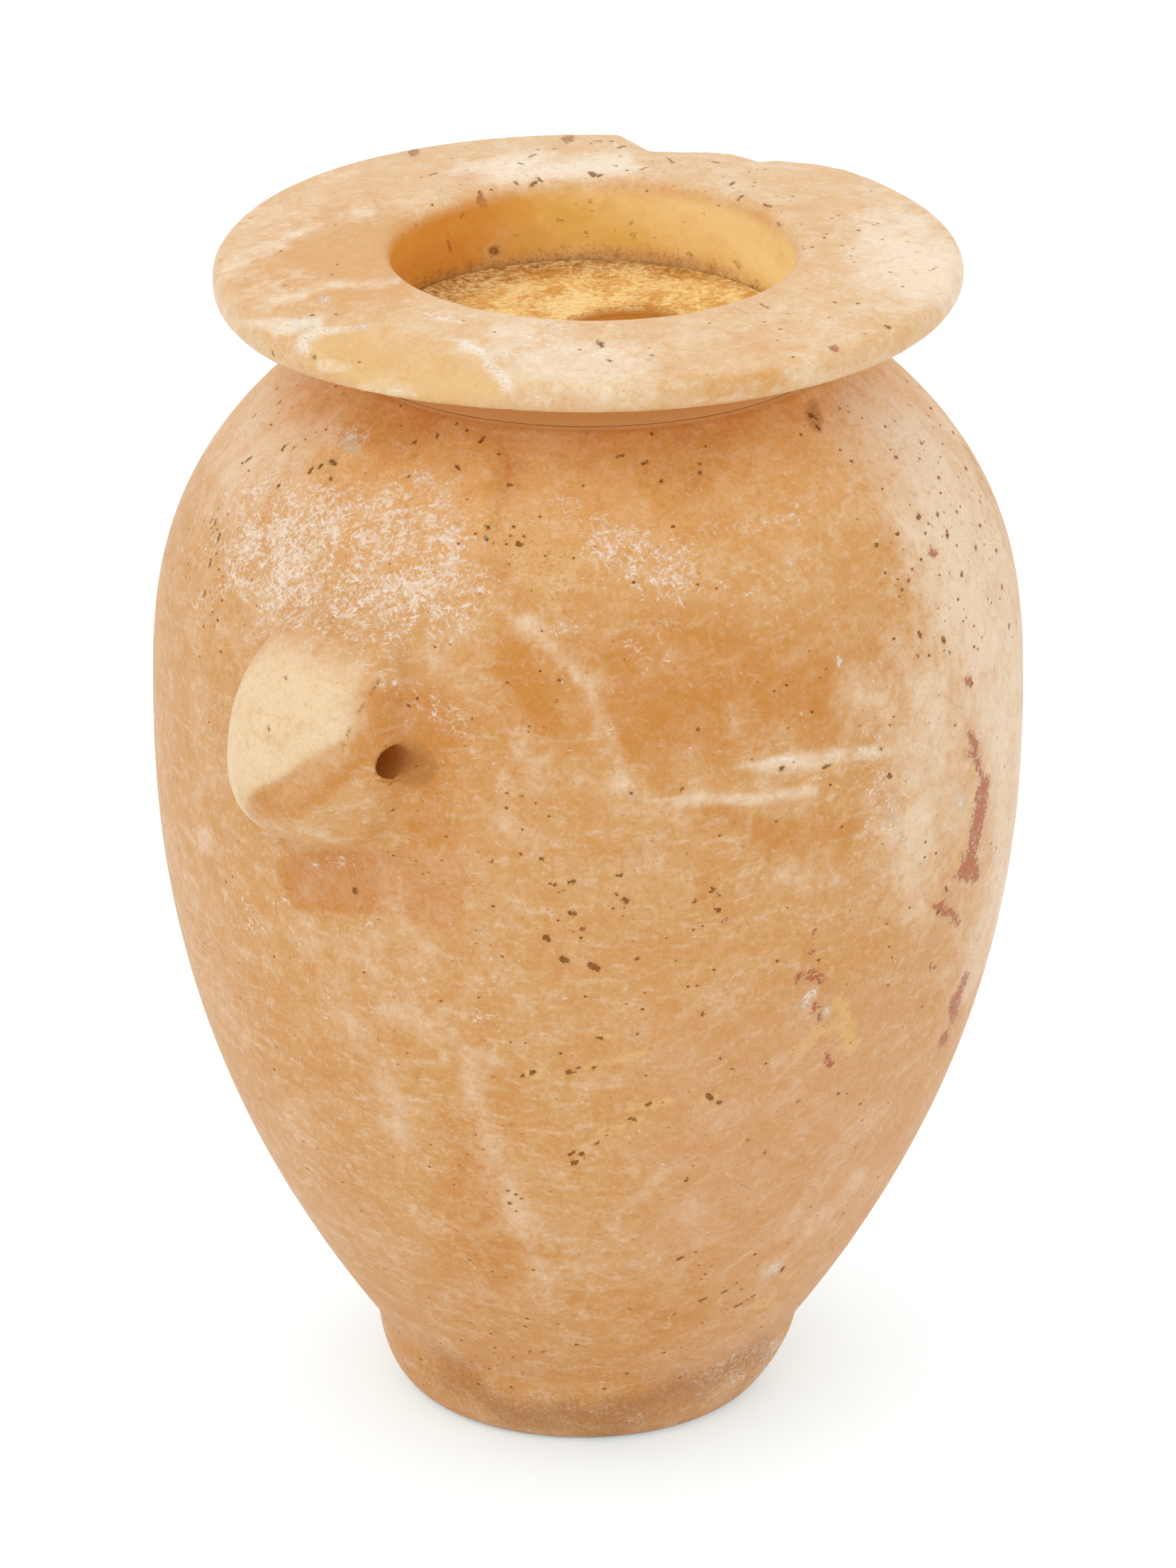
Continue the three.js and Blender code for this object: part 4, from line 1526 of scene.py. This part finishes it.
def blendColour(tree, share, first, second, mode="MIX"):
    node = addNode(tree, "ShaderNodeMix", data_type="RGBA", blend_type=mode)
    feed(tree, node.inputs[0], share)
    feed(tree, node.inputs[6], first)
    feed(tree, node.inputs[7], second)
    return node.outputs[2]


def blendNumber(tree, share, first, second):
    node = addNode(tree, "ShaderNodeMix", data_type="FLOAT")
    for socket, value in zip(node.inputs[:4], (share, None, first, second)):
        if value is not None:
            feed(tree, socket, value)
    return node.outputs[0]


def ramp(tree, value, low, high, toLow=0.0, toHigh=1.0):
    node = addNode(tree, "ShaderNodeMapRange", interpolation_type="SMOOTHSTEP")
    for socket, wanted in zip(node.inputs, (value, low, high, toLow, toHigh)):
        feed(tree, socket, wanted)
    return node.outputs[0]


def times(tree, *values):
    product = values[0]
    for value in values[1:]:
        product = maths(tree, "MULTIPLY", product, value)
    return product


# A value centred on zero from a noise that runs from 0 to 1
def centred(tree, value, strength):
    return maths(tree, "MULTIPLY_ADD", value, strength, -0.5 * strength)


def mask(tree, name):
    return addNode(tree, "ShaderNodeAttribute", attribute_name=name).outputs["Fac"]


# A mask with its border broken up by a noise
def brokenMask(tree, name, noise, strength, low, high):
    return ramp(tree, maths(tree, "ADD", mask(tree, name), centred(tree, noise, strength)), low, high)


# A colour with a tint laid over it by the product of some shares
def overlaid(tree, colour, tint, *shares):
    return blendColour(tree, times(tree, *shares), colour, tint)


def grain(tree, place, scale, detail=3.0, coarse=0.5, twist=0.0, output="Fac"):
    node = addNode(tree, "ShaderNodeTexNoise")
    feed(tree, node.inputs["Vector"], place)
    feed(tree, node.inputs["Scale"], scale)
    node.inputs["Detail"].default_value = detail
    node.inputs["Roughness"].default_value = coarse
    node.inputs["Distortion"].default_value = twist
    return node.outputs[output]


def newGroup(name, inputs, outputs):
    tree = bpy.data.node_groups.new(name, "ShaderNodeTree")
    for label, kind in inputs:
        tree.interface.new_socket(label, in_out="INPUT", socket_type="NodeSocket" + kind)
    for label, kind in outputs:
        tree.interface.new_socket(label, in_out="OUTPUT", socket_type="NodeSocket" + kind)
    return tree, tree.nodes.new("NodeGroupInput").outputs, tree.nodes.new("NodeGroupOutput").inputs


def placed(tree, place, turn=(0, 0, 0), stretch=(1, 1, 1), shift=(0, 0, 0)):
    node = addNode(tree, "ShaderNodeMapping")
    feed(tree, node.inputs["Vector"], place)
    node.inputs["Location"].default_value = shift
    node.inputs["Rotation"].default_value = [math.radians(angle) for angle in turn]
    node.inputs["Scale"].default_value = stretch
    return node.outputs[0]


# The place measured along a lean in the picture plane, across it and into the stone, each with a scale
def leaning(tree, place, lean, scales):
    angle = math.radians(lean)
    along = viewRight * math.cos(angle) + viewUp * math.sin(angle)
    across = viewUp * math.cos(angle) - viewRight * math.sin(angle)
    node = addNode(tree, "ShaderNodeCombineXYZ")
    for socket, direction, scale in zip(node.inputs, (along, across, towardsCamera), scales):
        feed(tree, socket, vectors(tree, "DOT_PRODUCT", place, tuple(direction * scale)))
    return node.outputs[0]


# Drifting clouds of honey and cream in the stone, in mm coordinates
def cloudGroup():
    tree, given, put = newGroup("travertineClouds", [
        ("Place", "Vector"), ("Honey mask", "Float"), ("Cream mask", "Float"), ("Slant", "Float"),
        ("Stone", "Color"), ("Honey", "Color"), ("Cream", "Color"), ("Wildness", "Float"),
    ], [("Color", "Color"), ("Streak height", "Float")])
    place = given["Place"]
    wide = grain(tree, place, 0.05, 4, 0.6, 0.8)
    middle = grain(tree, placed(tree, place, shift=(40, 10, 5)), 0.21, 5, 0.68, 0.6)
    level = grain(tree, placed(tree, place, turn=(5, -4, 0), stretch=(0.28, 0.28, 1.0)), 0.5, 5, 0.7, 0.5)
    slanted = grain(tree, leaning(tree, place, 33, (0.24, 0.9, 0.5)), 0.5, 5, 0.7, 0.5)
    streak = blendNumber(tree, given["Slant"], level, slanted)
    wisps = grain(tree, placed(tree, place, shift=(3, 60, 9)), 0.6, 6, 0.76, 0.9)
    fine = grain(tree, place, 1.4, 3, 0.7, 0.3)
    drift = maths(tree, "ADD", centred(tree, wide, 1.3), centred(tree, middle, 1.4))
    drift = maths(tree, "ADD", drift, centred(tree, streak, 0.6))
    drift = maths(tree, "MULTIPLY", drift, given["Wildness"])
    honey = ramp(tree, maths(tree, "ADD", given["Honey mask"], drift), -0.1, 1.0)
    cream = ramp(tree, maths(tree, "SUBTRACT", given["Cream mask"], drift), -0.1, 1.0)
    colour = blendColour(tree, honey, given["Stone"], given["Honey"])
    colour = blendColour(tree, cream, colour, given["Cream"])
    pale = ramp(tree, maths(tree, "ADD", streak, centred(tree, wisps, 0.9)), 0.46, 0.80, 0.0, 0.55)
    pale = times(tree, pale, ramp(tree, given["Honey mask"], 0.1, 0.9, 1.0, 0.3))
    colour = blendColour(tree, pale, colour, given["Cream"])
    deep = ramp(tree, maths(tree, "ADD", wisps, centred(tree, streak, 0.5)), 0.52, 0.24, 0.0, 0.5)
    colour = blendColour(tree, deep, colour, given["Honey"])
    mottled = ramp(tree, fine, 0.25, 0.75, 0.94, 1.05)
    colour = blendColour(tree, 1.0, colour, greyOf(tree, mottled), "MULTIPLY")
    feed(tree, put["Color"], colour)
    feed(tree, put["Streak height"], streak)
    return tree


def greyOf(tree, value):
    node = addNode(tree, "ShaderNodeCombineColor")
    for socket in node.inputs[:3]:
        feed(tree, socket, value)
    return node.outputs[0]


# Bruised crystals: short whitish flecks, thick where the mask is high and sparse elsewhere
def frostGroup():
    tree, given, put = newGroup("crystalFrost", [
        ("Place", "Vector"), ("Frost mask", "Float"), ("Everywhere", "Float"),
    ], [("Flecks", "Float"), ("Haze", "Float")])
    place = given["Place"]
    patch = grain(tree, place, 0.17, 6, 0.72, 0.6)
    density = maths(tree, "ADD", given["Frost mask"], given["Everywhere"])
    density = maths(tree, "ADD", density, centred(tree, patch, 3.0))
    limit = ramp(tree, density, -0.3, 1.6, 0.69, 0.42)
    dim = grain(tree, placed(tree, place, shift=(9, 2, 30)), 0.7, 4, 0.7)
    tone = ramp(tree, dim, 0.36, 0.62, 0.45, 1.0)
    flecks = 0.0
    for lean, scales in ((-50, (0.6, 1.7, 1.3)), (8, (0.5, 1.8, 1.3)), (60, (1.1, 2.6, 2.0))):
        streak = grain(tree, leaning(tree, place, lean, scales), 0.95, 3, 0.62, 0.35)
        over = maths(tree, "SUBTRACT", streak, limit)
        flecks = maths(tree, "MAXIMUM", flecks, ramp(tree, over, 0.0, 0.12))
    feed(tree, put["Flecks"], times(tree, flecks, tone))
    feed(tree, put["Haze"], ramp(tree, density, 0.1, 1.3))
    return tree


# Crisp marks: a capsule of the given middle, half axis and half width, with a broken border and a stain.
# Square is the middle's squared length, which only agrees with the middle inside one speck's own reach.
def speckGroup():
    tree, given, put = newGroup("brokenSpecks", [
        ("Place", "Vector"), ("Ragged", "Vector"), ("Middle", "Vector"), ("Half axis", "Vector"),
        ("Half width", "Float"), ("Square", "Float"), ("Raggedness", "Float"), ("Stain width", "Float"),
    ], [("Core", "Float"), ("Stain", "Float")])
    shifted = vectors(tree, "SCALE", given["Ragged"], scale=given["Raggedness"])
    place = vectors(tree, "ADD", given["Place"], shifted)
    middle = given["Middle"]
    away = vectors(tree, "SUBTRACT", place, middle)
    axis = given["Half axis"]
    square = maths(tree, "MAXIMUM", vectors(tree, "DOT_PRODUCT", axis, axis), 0.0001)
    along = maths(tree, "DIVIDE", vectors(tree, "DOT_PRODUCT", away, axis), square)
    along = maths(tree, "MAXIMUM", maths(tree, "MINIMUM", along, 1.0), -1.0)
    rest = vectors(tree, "SUBTRACT", away, vectors(tree, "SCALE", axis, scale=along))
    gap = maths(tree, "SUBTRACT", vectors(tree, "LENGTH", rest), given["Half width"])
    mixed = maths(tree, "SUBTRACT", given["Square"], vectors(tree, "DOT_PRODUCT", middle, middle))
    there = times(tree, ramp(tree, given["Half width"], 0.0, 0.05), ramp(tree, mixed, 0.6, 0.2))
    feed(tree, put["Core"], times(tree, ramp(tree, gap, 0.07, -0.07), there))
    feed(tree, put["Stain"], times(tree, ramp(tree, gap, given["Stain width"], 0.0), there))
    return tree


# Fine pits: one small hollow in a share of the cells of a loose grid
def pitGroup():
    tree, given, put = newGroup("finePits", [
        ("Place", "Vector"), ("Ragged", "Vector"), ("Share", "Float"),
    ], [("Core", "Float"), ("Stain", "Float")])
    place = vectors(tree, "ADD", given["Place"], vectors(tree, "SCALE", given["Ragged"], scale=0.7))
    cells = addNode(tree, "ShaderNodeTexVoronoi")
    feed(tree, cells.inputs["Vector"], vectors(tree, "MULTIPLY", place, (1.0, 1.0, 1.5)))
    cells.inputs["Scale"].default_value = 1.0
    chance = addNode(tree, "ShaderNodeSeparateColor")
    feed(tree, chance.inputs[0], cells.outputs["Color"])
    size = times(tree, chance.outputs[1], chance.outputs[1])
    radius = maths(tree, "MULTIPLY_ADD", size, 0.22, 0.07)
    gap = maths(tree, "SUBTRACT", cells.outputs["Distance"], radius)
    there = maths(tree, "LESS_THAN", chance.outputs[0], given["Share"])
    depth = ramp(tree, size, 0.0, 0.6, 0.45, 1.0)
    feed(tree, put["Core"], times(tree, ramp(tree, gap, 0.07, -0.05), there, depth))
    feed(tree, put["Stain"], times(tree, ramp(tree, gap, 0.45, 0.0), there, depth))
    return tree


stoneGroups = {"clouds": cloudGroup(), "frost": frostGroup(), "specks": speckGroup(), "pits": pitGroup()}


def useGroup(tree, name, **values):
    node = addNode(tree, "ShaderNodeGroup", node_tree=stoneGroups[name])
    for label, value in values.items():
        feed(tree, node.inputs[label.replace("_", " ")], value)
    return node.outputs


def useSpecks(tree, place, ragged, kind, raggedness, stainWidth):
    middle = addNode(tree, "ShaderNodeAttribute", attribute_name=kind + "Middle").outputs["Vector"]
    axis = addNode(tree, "ShaderNodeAttribute", attribute_name=kind + "Axis").outputs["Vector"]
    return useGroup(tree, "specks", Place=place, Ragged=ragged, Middle=middle, Half_axis=axis,
                    Half_width=mask(tree, kind + "Width"), Square=mask(tree, kind + "Square"),
                    Raggedness=raggedness, Stain_width=stainWidth)


def newMaterial(name):
    material = bpy.data.materials.new(name)
    material.use_nodes = True
    tree = material.node_tree
    return material, tree, tree.nodes["Principled BSDF"]


# Object coordinates in millimetres
def placeInMm(tree):
    coordinates = addNode(tree, "ShaderNodeTexCoord").outputs["Object"]
    return placed(tree, coordinates, stretch=(1 / mm, 1 / mm, 1 / mm))


bodyLook = {
    "stone": srgb(217, 161, 98),
    "honey": srgb(208, 138, 62),
    "cream": srgb(243, 216, 183),
    # Painted light: lighter, more golden stone under the rim, for the light that comes through the rim
    "shoulder": srgb(243, 186, 112),
    "lugFace": srgb(244, 214, 172),
    "lugHoney": srgb(214, 157, 92),
    "frost": srgb(250, 235, 218),
    "rose": srgb(220, 166, 130),
    "rust": srgb(190, 94, 42),
    "ochre": srgb(234, 188, 122),
    "chalk": srgb(246, 226, 198),
    "slate": srgb(112, 122, 122),
    "pit": srgb(138, 78, 10),
    "pitStain": srgb(200, 138, 66),
    "soilAndShade": srgb(172, 116, 60),
    "floor": srgb(252, 220, 152),
    "floorDeep": srgb(216, 152, 66),
    # Colour of the dirt and painted corner shade at the floor's edge
    "floorDirtAndShade": srgb(150, 90, 20),
    "bore": srgb(226, 160, 62),
    # Painted shade in the string holes, and the strength of their painted glow
    "hole": srgb(160, 82, 8),
    "holeGlow": 0.10,
    "wildness": 0.85,
    "frostEverywhere": -0.02,
    "pitShare": 0.015,
    "glow": 0.22,
    "roughness": 0.46,
    "gloss": 0.22,
}
rimLook = {
    "stone": srgb(231, 188, 136),
    "honey": srgb(223, 165, 97),
    "cream": srgb(248, 226, 196),
    "frost": srgb(252, 243, 230),
    "rose": srgb(220, 170, 140),
    "rust": srgb(184, 104, 54),
    "ochre": srgb(228, 180, 112),
    "chalk": srgb(250, 241, 226),
    "slate": srgb(158, 152, 146),
    "pit": srgb(150, 90, 20),
    "pitStain": srgb(208, 152, 86),
    "soilAndShade": srgb(168, 112, 58),
    "flake": srgb(235, 194, 128),
    # Mouth wall: painted light through the thin translucent stone, deep orange on the left and pale to the
    # right and up to the lip
    "mouthLeft": srgb(218, 150, 62),
    "mouthMiddle": srgb(234, 192, 104),
    "mouthRight": srgb(250, 226, 164),
    # Colour of the dirt and painted corner shade low in the mouth
    "mouthDirtAndShade": srgb(140, 82, 12),
    # The neck takes the darker honey of the body under the rim: partly painted shade of the rim
    "neck": srgb(212, 146, 76),
    "wildness": 1.2,
    "frostEverywhere": -0.05,
    "pitShare": 0.012,
    "glow": 0.08,
    "roughness": 0.38,
    "gloss": 0.28,
}
beddingLook = {
    "inside": (srgb(84, 52, 24), srgb(148, 100, 52)),
    "outside": (srgb(206, 142, 76), srgb(214, 152, 88)),
    "relief": 0.3,
}

# What both stones share: the scales of the noises, per mm, how far each mark covers the stone and its relief
# in mm
finish = {
    "brokenScale": 0.7,
    "gritScale": 2.0,
    "raggedScale": 2.4,
    "cover": {"rose": 0.55, "grit": 0.4, "gritSoil": 0.6, "haze": 0.07, "flecks": 0.85, "soilAndShade": 0.75,
              "slate": 0.7, "pitStain": 0.45, "pit": 0.9},
    "stains": (("ochre", "ochre", 0.2), ("rust", "rose", 0.55), ("chalk", "frost", 0.2)),
    "cores": (("ochre", 0.7), ("rust", 0.85), ("chalk", 0.65)),
    "swarmPits": 0.6,
    "lugPits": 0.2,
    "relief": {"broken": 0.14, "grit": 0.03, "streaks": 0.06, "flecks": 0.03, "chalk": 0.05, "pit": -0.22,
               "rust": -0.08},
    "hazeRoughness": 0.14,
    "pitRoughness": 0.3,
}


# Clouds, frost, rose and rust veins, ochre grains, soil with painted shade, and pits
def stoneFinish(tree, shader, look, place, stone, honey):
    cover = finish["cover"]
    cloud = useGroup(
        tree, "clouds", Place=place, Honey_mask=mask(tree, "honey"), Cream_mask=mask(tree, "cream"),
        Slant=mask(tree, "slant"), Stone=stone, Honey=honey, Cream=look["cream"],
        Wildness=look["wildness"])
    frost = useGroup(
        tree, "frost", Place=place, Frost_mask=mask(tree, "frost"), Everywhere=look["frostEverywhere"])
    colour = cloud["Color"]
    broken = grain(tree, place, finish["brokenScale"], 5, 0.7)
    grit = grain(tree, place, finish["gritScale"], 4, 0.75)
    torn = grain(tree, place, finish["raggedScale"], 3, 0.75, output="Color")
    ragged = vectors(tree, "SUBTRACT", torn, (0.5, 0.5, 0.5))
    rosy = brokenMask(tree, "rose", broken, 1.6, 0.2, 1.2)
    colour = overlaid(tree, colour, look["rose"], rosy, cover["rose"])
    gritty = brokenMask(tree, "grit", broken, 1.6, 0.25, 1.0)
    colour = overlaid(tree, colour, look["ochre"], gritty, cover["grit"])
    colour = overlaid(tree, colour, look["soilAndShade"], gritty, ramp(tree, grit, 0.52, 0.64), cover["gritSoil"])
    colour = overlaid(tree, colour, look["frost"], frost["Haze"], cover["haze"])
    colour = overlaid(tree, colour, look["frost"], frost["Flecks"], cover["flecks"])
    # Soil, with painted shade where its patches lie under the rim, beside a string hole and in the mouth's
    # floor corner
    soilShade = brokenMask(tree, "soilAndShade", grit, 1.6, 0.3, 1.15)
    colour = overlaid(tree, colour, look["soilAndShade"], soilShade, cover["soilAndShade"])
    for kind, tint, strength in finish["stains"]:
        stain = brokenMask(tree, kind, broken, 0.8, 0.15, 1.1)
        colour = overlaid(tree, colour, look[tint], stain, strength)
    crumbs = maths(tree, "ADD", centred(tree, grit, 2.4), centred(tree, broken, 2.0))
    cores = {}
    for kind, strength in finish["cores"]:
        core = maths(tree, "MULTIPLY_ADD", mask(tree, kind), 0.95, crumbs)
        cores[kind] = ramp(tree, core, 0.62, 0.95)
        colour = overlaid(tree, colour, look[kind], cores[kind], strength)
    dark = ramp(tree, grit, 0.56, 0.68)
    colour = overlaid(tree, colour, look["soilAndShade"], cores["ochre"], dark, cover["gritSoil"])
    slate = useSpecks(tree, place, ragged, "slate", 0.6, 0.3)
    pit = useSpecks(tree, place, ragged, "pit", 1.7, 0.5)
    pitShare = maths(tree, "MULTIPLY_ADD", mask(tree, "swarm"), finish["swarmPits"], look["pitShare"])
    lugPits = times(tree, mask(tree, "lug"), finish["lugPits"])
    pitShare = maths(tree, "SUBTRACT", pitShare, lugPits, clamp=True)
    fine = useGroup(tree, "pits", Place=place, Ragged=ragged, Share=pitShare)
    pitStain = maths(tree, "MAXIMUM", pit["Stain"], fine["Stain"])
    drawnPit = times(tree, pit["Core"], ramp(tree, grit, 0.3, 0.6, 0.6, 1.0))
    pitCore = maths(tree, "MAXIMUM", drawnPit, fine["Core"])
    colour = overlaid(tree, colour, look["slate"], slate["Core"], cover["slate"])
    colour = overlaid(tree, colour, look["pitStain"], pitStain, cover["pitStain"])
    colour = overlaid(tree, colour, look["pit"], pitCore, cover["pit"])
    rough = maths(tree, "ADD", look["roughness"], times(tree, frost["Haze"], finish["hazeRoughness"]))
    rough = maths(tree, "ADD", rough, times(tree, pitCore, finish["pitRoughness"]), clamp=True)
    fields = {"broken": broken, "grit": grit, "streaks": cloud["Streak height"], "flecks": frost["Flecks"],
              "chalk": cores["chalk"], "pit": pitCore, "rust": cores["rust"]}
    height = 0.0
    for name, relief in finish["relief"].items():
        height = maths(tree, "MULTIPLY_ADD", fields[name], relief, height)
    shader.inputs["Specular IOR Level"].default_value = look["gloss"]
    return colour, rough, height, grit


def finishShader(tree, shader, colour, rough, height):
    bump = addNode(tree, "ShaderNodeBump")
    bump.inputs["Strength"].default_value = 1.0
    bump.inputs["Distance"].default_value = mm
    feed(tree, bump.inputs["Height"], height)
    feed(tree, shader.inputs["Base Color"], colour)
    feed(tree, shader.inputs["Roughness"], rough)
    feed(tree, shader.inputs["Normal"], bump.outputs[0])


# A faint glow of the light that comes through the thin stone round the mouth and in the holes
def addGlow(tree, shader, share, colour):
    black = (0.0, 0.0, 0.0, 1.0)
    feed(tree, shader.inputs["Emission Color"], blendColour(tree, share, black, colour))
    shader.inputs["Emission Strength"].default_value = 1.0


def bodyMaterial():
    material, tree, shader = newMaterial("bodyTravertine")
    place = placeInMm(tree)
    look = bodyLook
    notFacet = maths(tree, "MULTIPLY_ADD", mask(tree, "facet"), -0.75, 0.95)
    faceShare = times(tree, mask(tree, "lug"), notFacet)
    # Painted light: the stone is made lighter and more golden towards the top, under the rim, for the light
    # that comes through the rim
    stone = blendColour(tree, mask(tree, "underRim"), look["stone"], look["shoulder"])
    stone = blendColour(tree, faceShare, stone, look["lugFace"])
    honey = blendColour(tree, faceShare, look["honey"], look["lugHoney"])
    colour, rough, height, _ = stoneFinish(tree, shader, look, place, stone, honey)
    floorMask = mask(tree, "floor")
    holeMask = mask(tree, "hole")
    broken = grain(tree, place, 0.7, 4, 0.7)
    pecked = grain(tree, leaning(tree, place, 0, (0.9, 1.3, 1.3)), 0.9, 5, 0.75, 0.5)
    patchy = maths(tree, "ADD", pecked, centred(tree, grain(tree, place, 0.16, 4, 0.65), 0.8))
    floorColour = blendColour(tree, ramp(tree, patchy, 0.34, 0.64), look["floorDeep"], look["floor"])
    # Dirt and painted corner shade on the floor: darker towards its edge, left and back, and most in the
    # pecked hollows
    dirtAndShade = brokenMask(tree, "floorDirtAndShade", broken, 1.6, 0.3, 1.3)
    hollows = ramp(tree, pecked, 0.62, 0.42, 0.25, 1.0)
    floorColour = overlaid(tree, floorColour, look["floorDirtAndShade"], dirtAndShade, hollows)
    colour = overlaid(tree, colour, floorColour, floorMask, 0.92)
    colour = overlaid(tree, colour, look["bore"], mask(tree, "bore"), 0.9)
    # Painted shade in the string holes: a deep orange that grows towards their middle, with a faint painted
    # glow
    colour = overlaid(tree, colour, look["hole"], holeMask, 0.8)
    height = maths(tree, "ADD", height, times(tree, floorMask, pecked, 0.6))
    floorGlow = times(tree, floorMask, look["glow"])
    holeGlow = times(tree, holeMask, look["holeGlow"])
    addGlow(tree, shader, maths(tree, "ADD", floorGlow, holeGlow), colour)
    finishShader(tree, shader, colour, rough, height)
    return material


# The mouth's inner wall: painted light through the thin stone, deep orange on the left and pale to the right
# and up to the lip, with dirt and painted shade low at the floor corner
def mouthColours(tree, look, place, grit):
    drift = centred(tree, grain(tree, place, 0.2, 6, 0.72, 0.6), 1.1)
    paleShare = maths(tree, "ADD", mask(tree, "mouthPale"), drift, clamp=True)
    leftShare = maths(tree, "SUBTRACT", mask(tree, "mouthSide"), drift, clamp=True)
    colour = blendColour(tree, paleShare, look["mouthMiddle"], look["mouthRight"])
    colour = blendColour(tree, leftShare, colour, look["mouthLeft"])
    # Dirt and painted corner shade low on the wall, broken up by noise
    lumps = centred(tree, grain(tree, place, 0.6, 4, 0.7), 1.6)
    breakup = maths(tree, "ADD", centred(tree, grit, 1.4), lumps)
    dirtAndShade = ramp(tree, maths(tree, "ADD", mask(tree, "mouthDirtAndShade"), breakup), 0.3, 1.1)
    return overlaid(tree, colour, look["mouthDirtAndShade"], dirtAndShade, 0.8)


def rimMaterial():
    material, tree, shader = newMaterial("rimTravertine")
    place = placeInMm(tree)
    look = rimLook
    colour, rough, height, grit = stoneFinish(tree, shader, look, place, look["stone"], look["honey"])
    fibres = grain(tree, leaning(tree, place, 84, (0.25, 1.6, 0.8)), 0.9, 3, 0.6)
    fibrous = ramp(tree, fibres, 0.35, 0.6, 0.35, 0.85)
    colour = overlaid(tree, colour, look["flake"], mask(tree, "flake"), fibrous)
    crumbly = ramp(tree, grit, 0.38, 0.56, 0.15, 0.9)
    colour = overlaid(tree, colour, look["frost"], mask(tree, "ridge"), crumbly)
    mouthColour = mouthColours(tree, look, place, grit)
    # Where soil and painted corner shade lie in the mouth, the mouth colours cover them less
    mouthTintShare = maths(tree, "MULTIPLY_ADD", mask(tree, "soilAndShade"), -0.8, 0.96)
    colour = overlaid(tree, colour, mouthColour, mask(tree, "mouth"), mouthTintShare)
    # The neck takes the darker honey of the body under the rim: partly painted shade of the rim
    colour = overlaid(tree, colour, look["neck"], mask(tree, "neck"), 0.92)
    addGlow(tree, shader, times(tree, mask(tree, "mouthDepth"), look["glow"]), colour)
    finishShader(tree, shader, colour, rough, height)
    return material


def beddingMaterial():
    material, tree, shader = newMaterial("beddingResin")
    lumps = grain(tree, placeInMm(tree), 0.8, 5, 0.65)
    pale = ramp(tree, lumps, 0.35, 0.65)
    inside = blendColour(tree, pale, *beddingLook["inside"])
    outside = blendColour(tree, pale, *beddingLook["outside"])
    colour = blendColour(tree, mask(tree, "outer"), inside, outside)
    rough = ramp(tree, lumps, 0.2, 0.8, 0.7, 0.9)
    finishShader(tree, shader, colour, rough, times(tree, lumps, beddingLook["relief"]))
    return material


for piece, material in ((body, bodyMaterial()), (rim, rimMaterial()), (bedding, beddingMaterial())):
    piece.data.materials.clear()
    piece.data.materials.append(material)
print("materials made")

# What each piece rides on and stands for
for piece, node, slot in (
    (body, "vessel_body", "body_travertine"),
    (rim, "rim_ring", "rim_travertine"),
    (bedding, "rim_bedding", "bedding_resin"),
):
    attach(piece, "root")
    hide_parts(node)

# Floor, lamps and surroundings
studio = {
    "floorHalfSize": 1.6,
    "floorColour": (0.94, 0.94, 0.94, 1.0),
    "floorRoughness": 0.9,
    "floorGloss": 0.1,
    "floorGlow": 0.33,
    "glowColour": (0.68, 1.0, 1.12, 1.0),
    "ambient": 0.92,
    "aimShare": 0.55,
    "lamps": [
        {"turn": 225, "rise": 48, "distance": 1.2, "size": 0.9, "power": 1.3},
        {"turn": 60, "rise": 72, "distance": 1.1, "size": 1.0, "power": 0.7},
    ],
}


# One where the camera sees a surface straight, in a reflection or through glass, and zero for other light
def seenDirectly(tree):
    rays = addNode(tree, "ShaderNodeLightPath").outputs
    direct = maths(tree, "MAXIMUM", rays["Is Camera Ray"], rays["Is Glossy Ray"])
    return maths(tree, "MAXIMUM", direct, rays["Is Transmission Ray"])


def makeFloor():
    half = studio["floorHalfSize"]
    mesh = bpy.data.meshes.new("paleFloor")
    corners = [(-half, -half, 0), (half, -half, 0), (half, half, 0), (-half, half, 0)]
    mesh.from_pydata(corners, [], [(0, 1, 2, 3)])
    floor = bpy.data.objects.new("paleFloor", mesh)
    bpy.context.scene.collection.objects.link(floor)
    material, tree, shader = newMaterial("palePaper")
    shader.inputs["Base Color"].default_value = studio["floorColour"]
    shader.inputs["Roughness"].default_value = studio["floorRoughness"]
    shader.inputs["Specular IOR Level"].default_value = studio["floorGloss"]
    shader.inputs["Emission Color"].default_value = studio["glowColour"]
    glow = maths(tree, "MULTIPLY", seenDirectly(tree), studio["floorGlow"])
    feed(tree, shader.inputs["Emission Strength"], glow)
    mesh.materials.append(material)


def makeWorld():
    world = bpy.data.worlds.new("softRoom")
    bpy.context.scene.world = world
    world.use_nodes = True
    tree = world.node_tree
    background = tree.nodes["Background"]
    background.inputs["Color"].default_value = (1, 1, 1, 1)
    strength = blendNumber(tree, seenDirectly(tree), studio["ambient"], 1.0)
    feed(tree, background.inputs["Strength"], strength)


def makeLamps():
    aim = Vector((0, 0, vesselHeight * mm * studio["aimShare"]))
    for number, lamp in enumerate(studio["lamps"]):
        turn = math.radians(frameAngle(lamp["turn"]))
        rise = math.radians(lamp["rise"])
        data = bpy.data.lights.new(f"softLamp{number}", "AREA")
        data.shape = "DISK"
        data.size = lamp["size"]
        data.energy = lamp["power"]
        holder = bpy.data.objects.new(f"softLamp{number}", data)
        reach = math.cos(rise)
        direction = Vector((reach * math.cos(turn), reach * math.sin(turn), math.sin(rise)))
        holder.location = aim + direction * lamp["distance"]
        holder.rotation_euler = (-direction).to_track_quat("-Z", "Y").to_euler()
        bpy.context.scene.collection.objects.link(holder)


makeFloor()
makeWorld()
makeLamps()
bpy.context.scene.view_settings.view_transform = "Standard"
print("studio made")
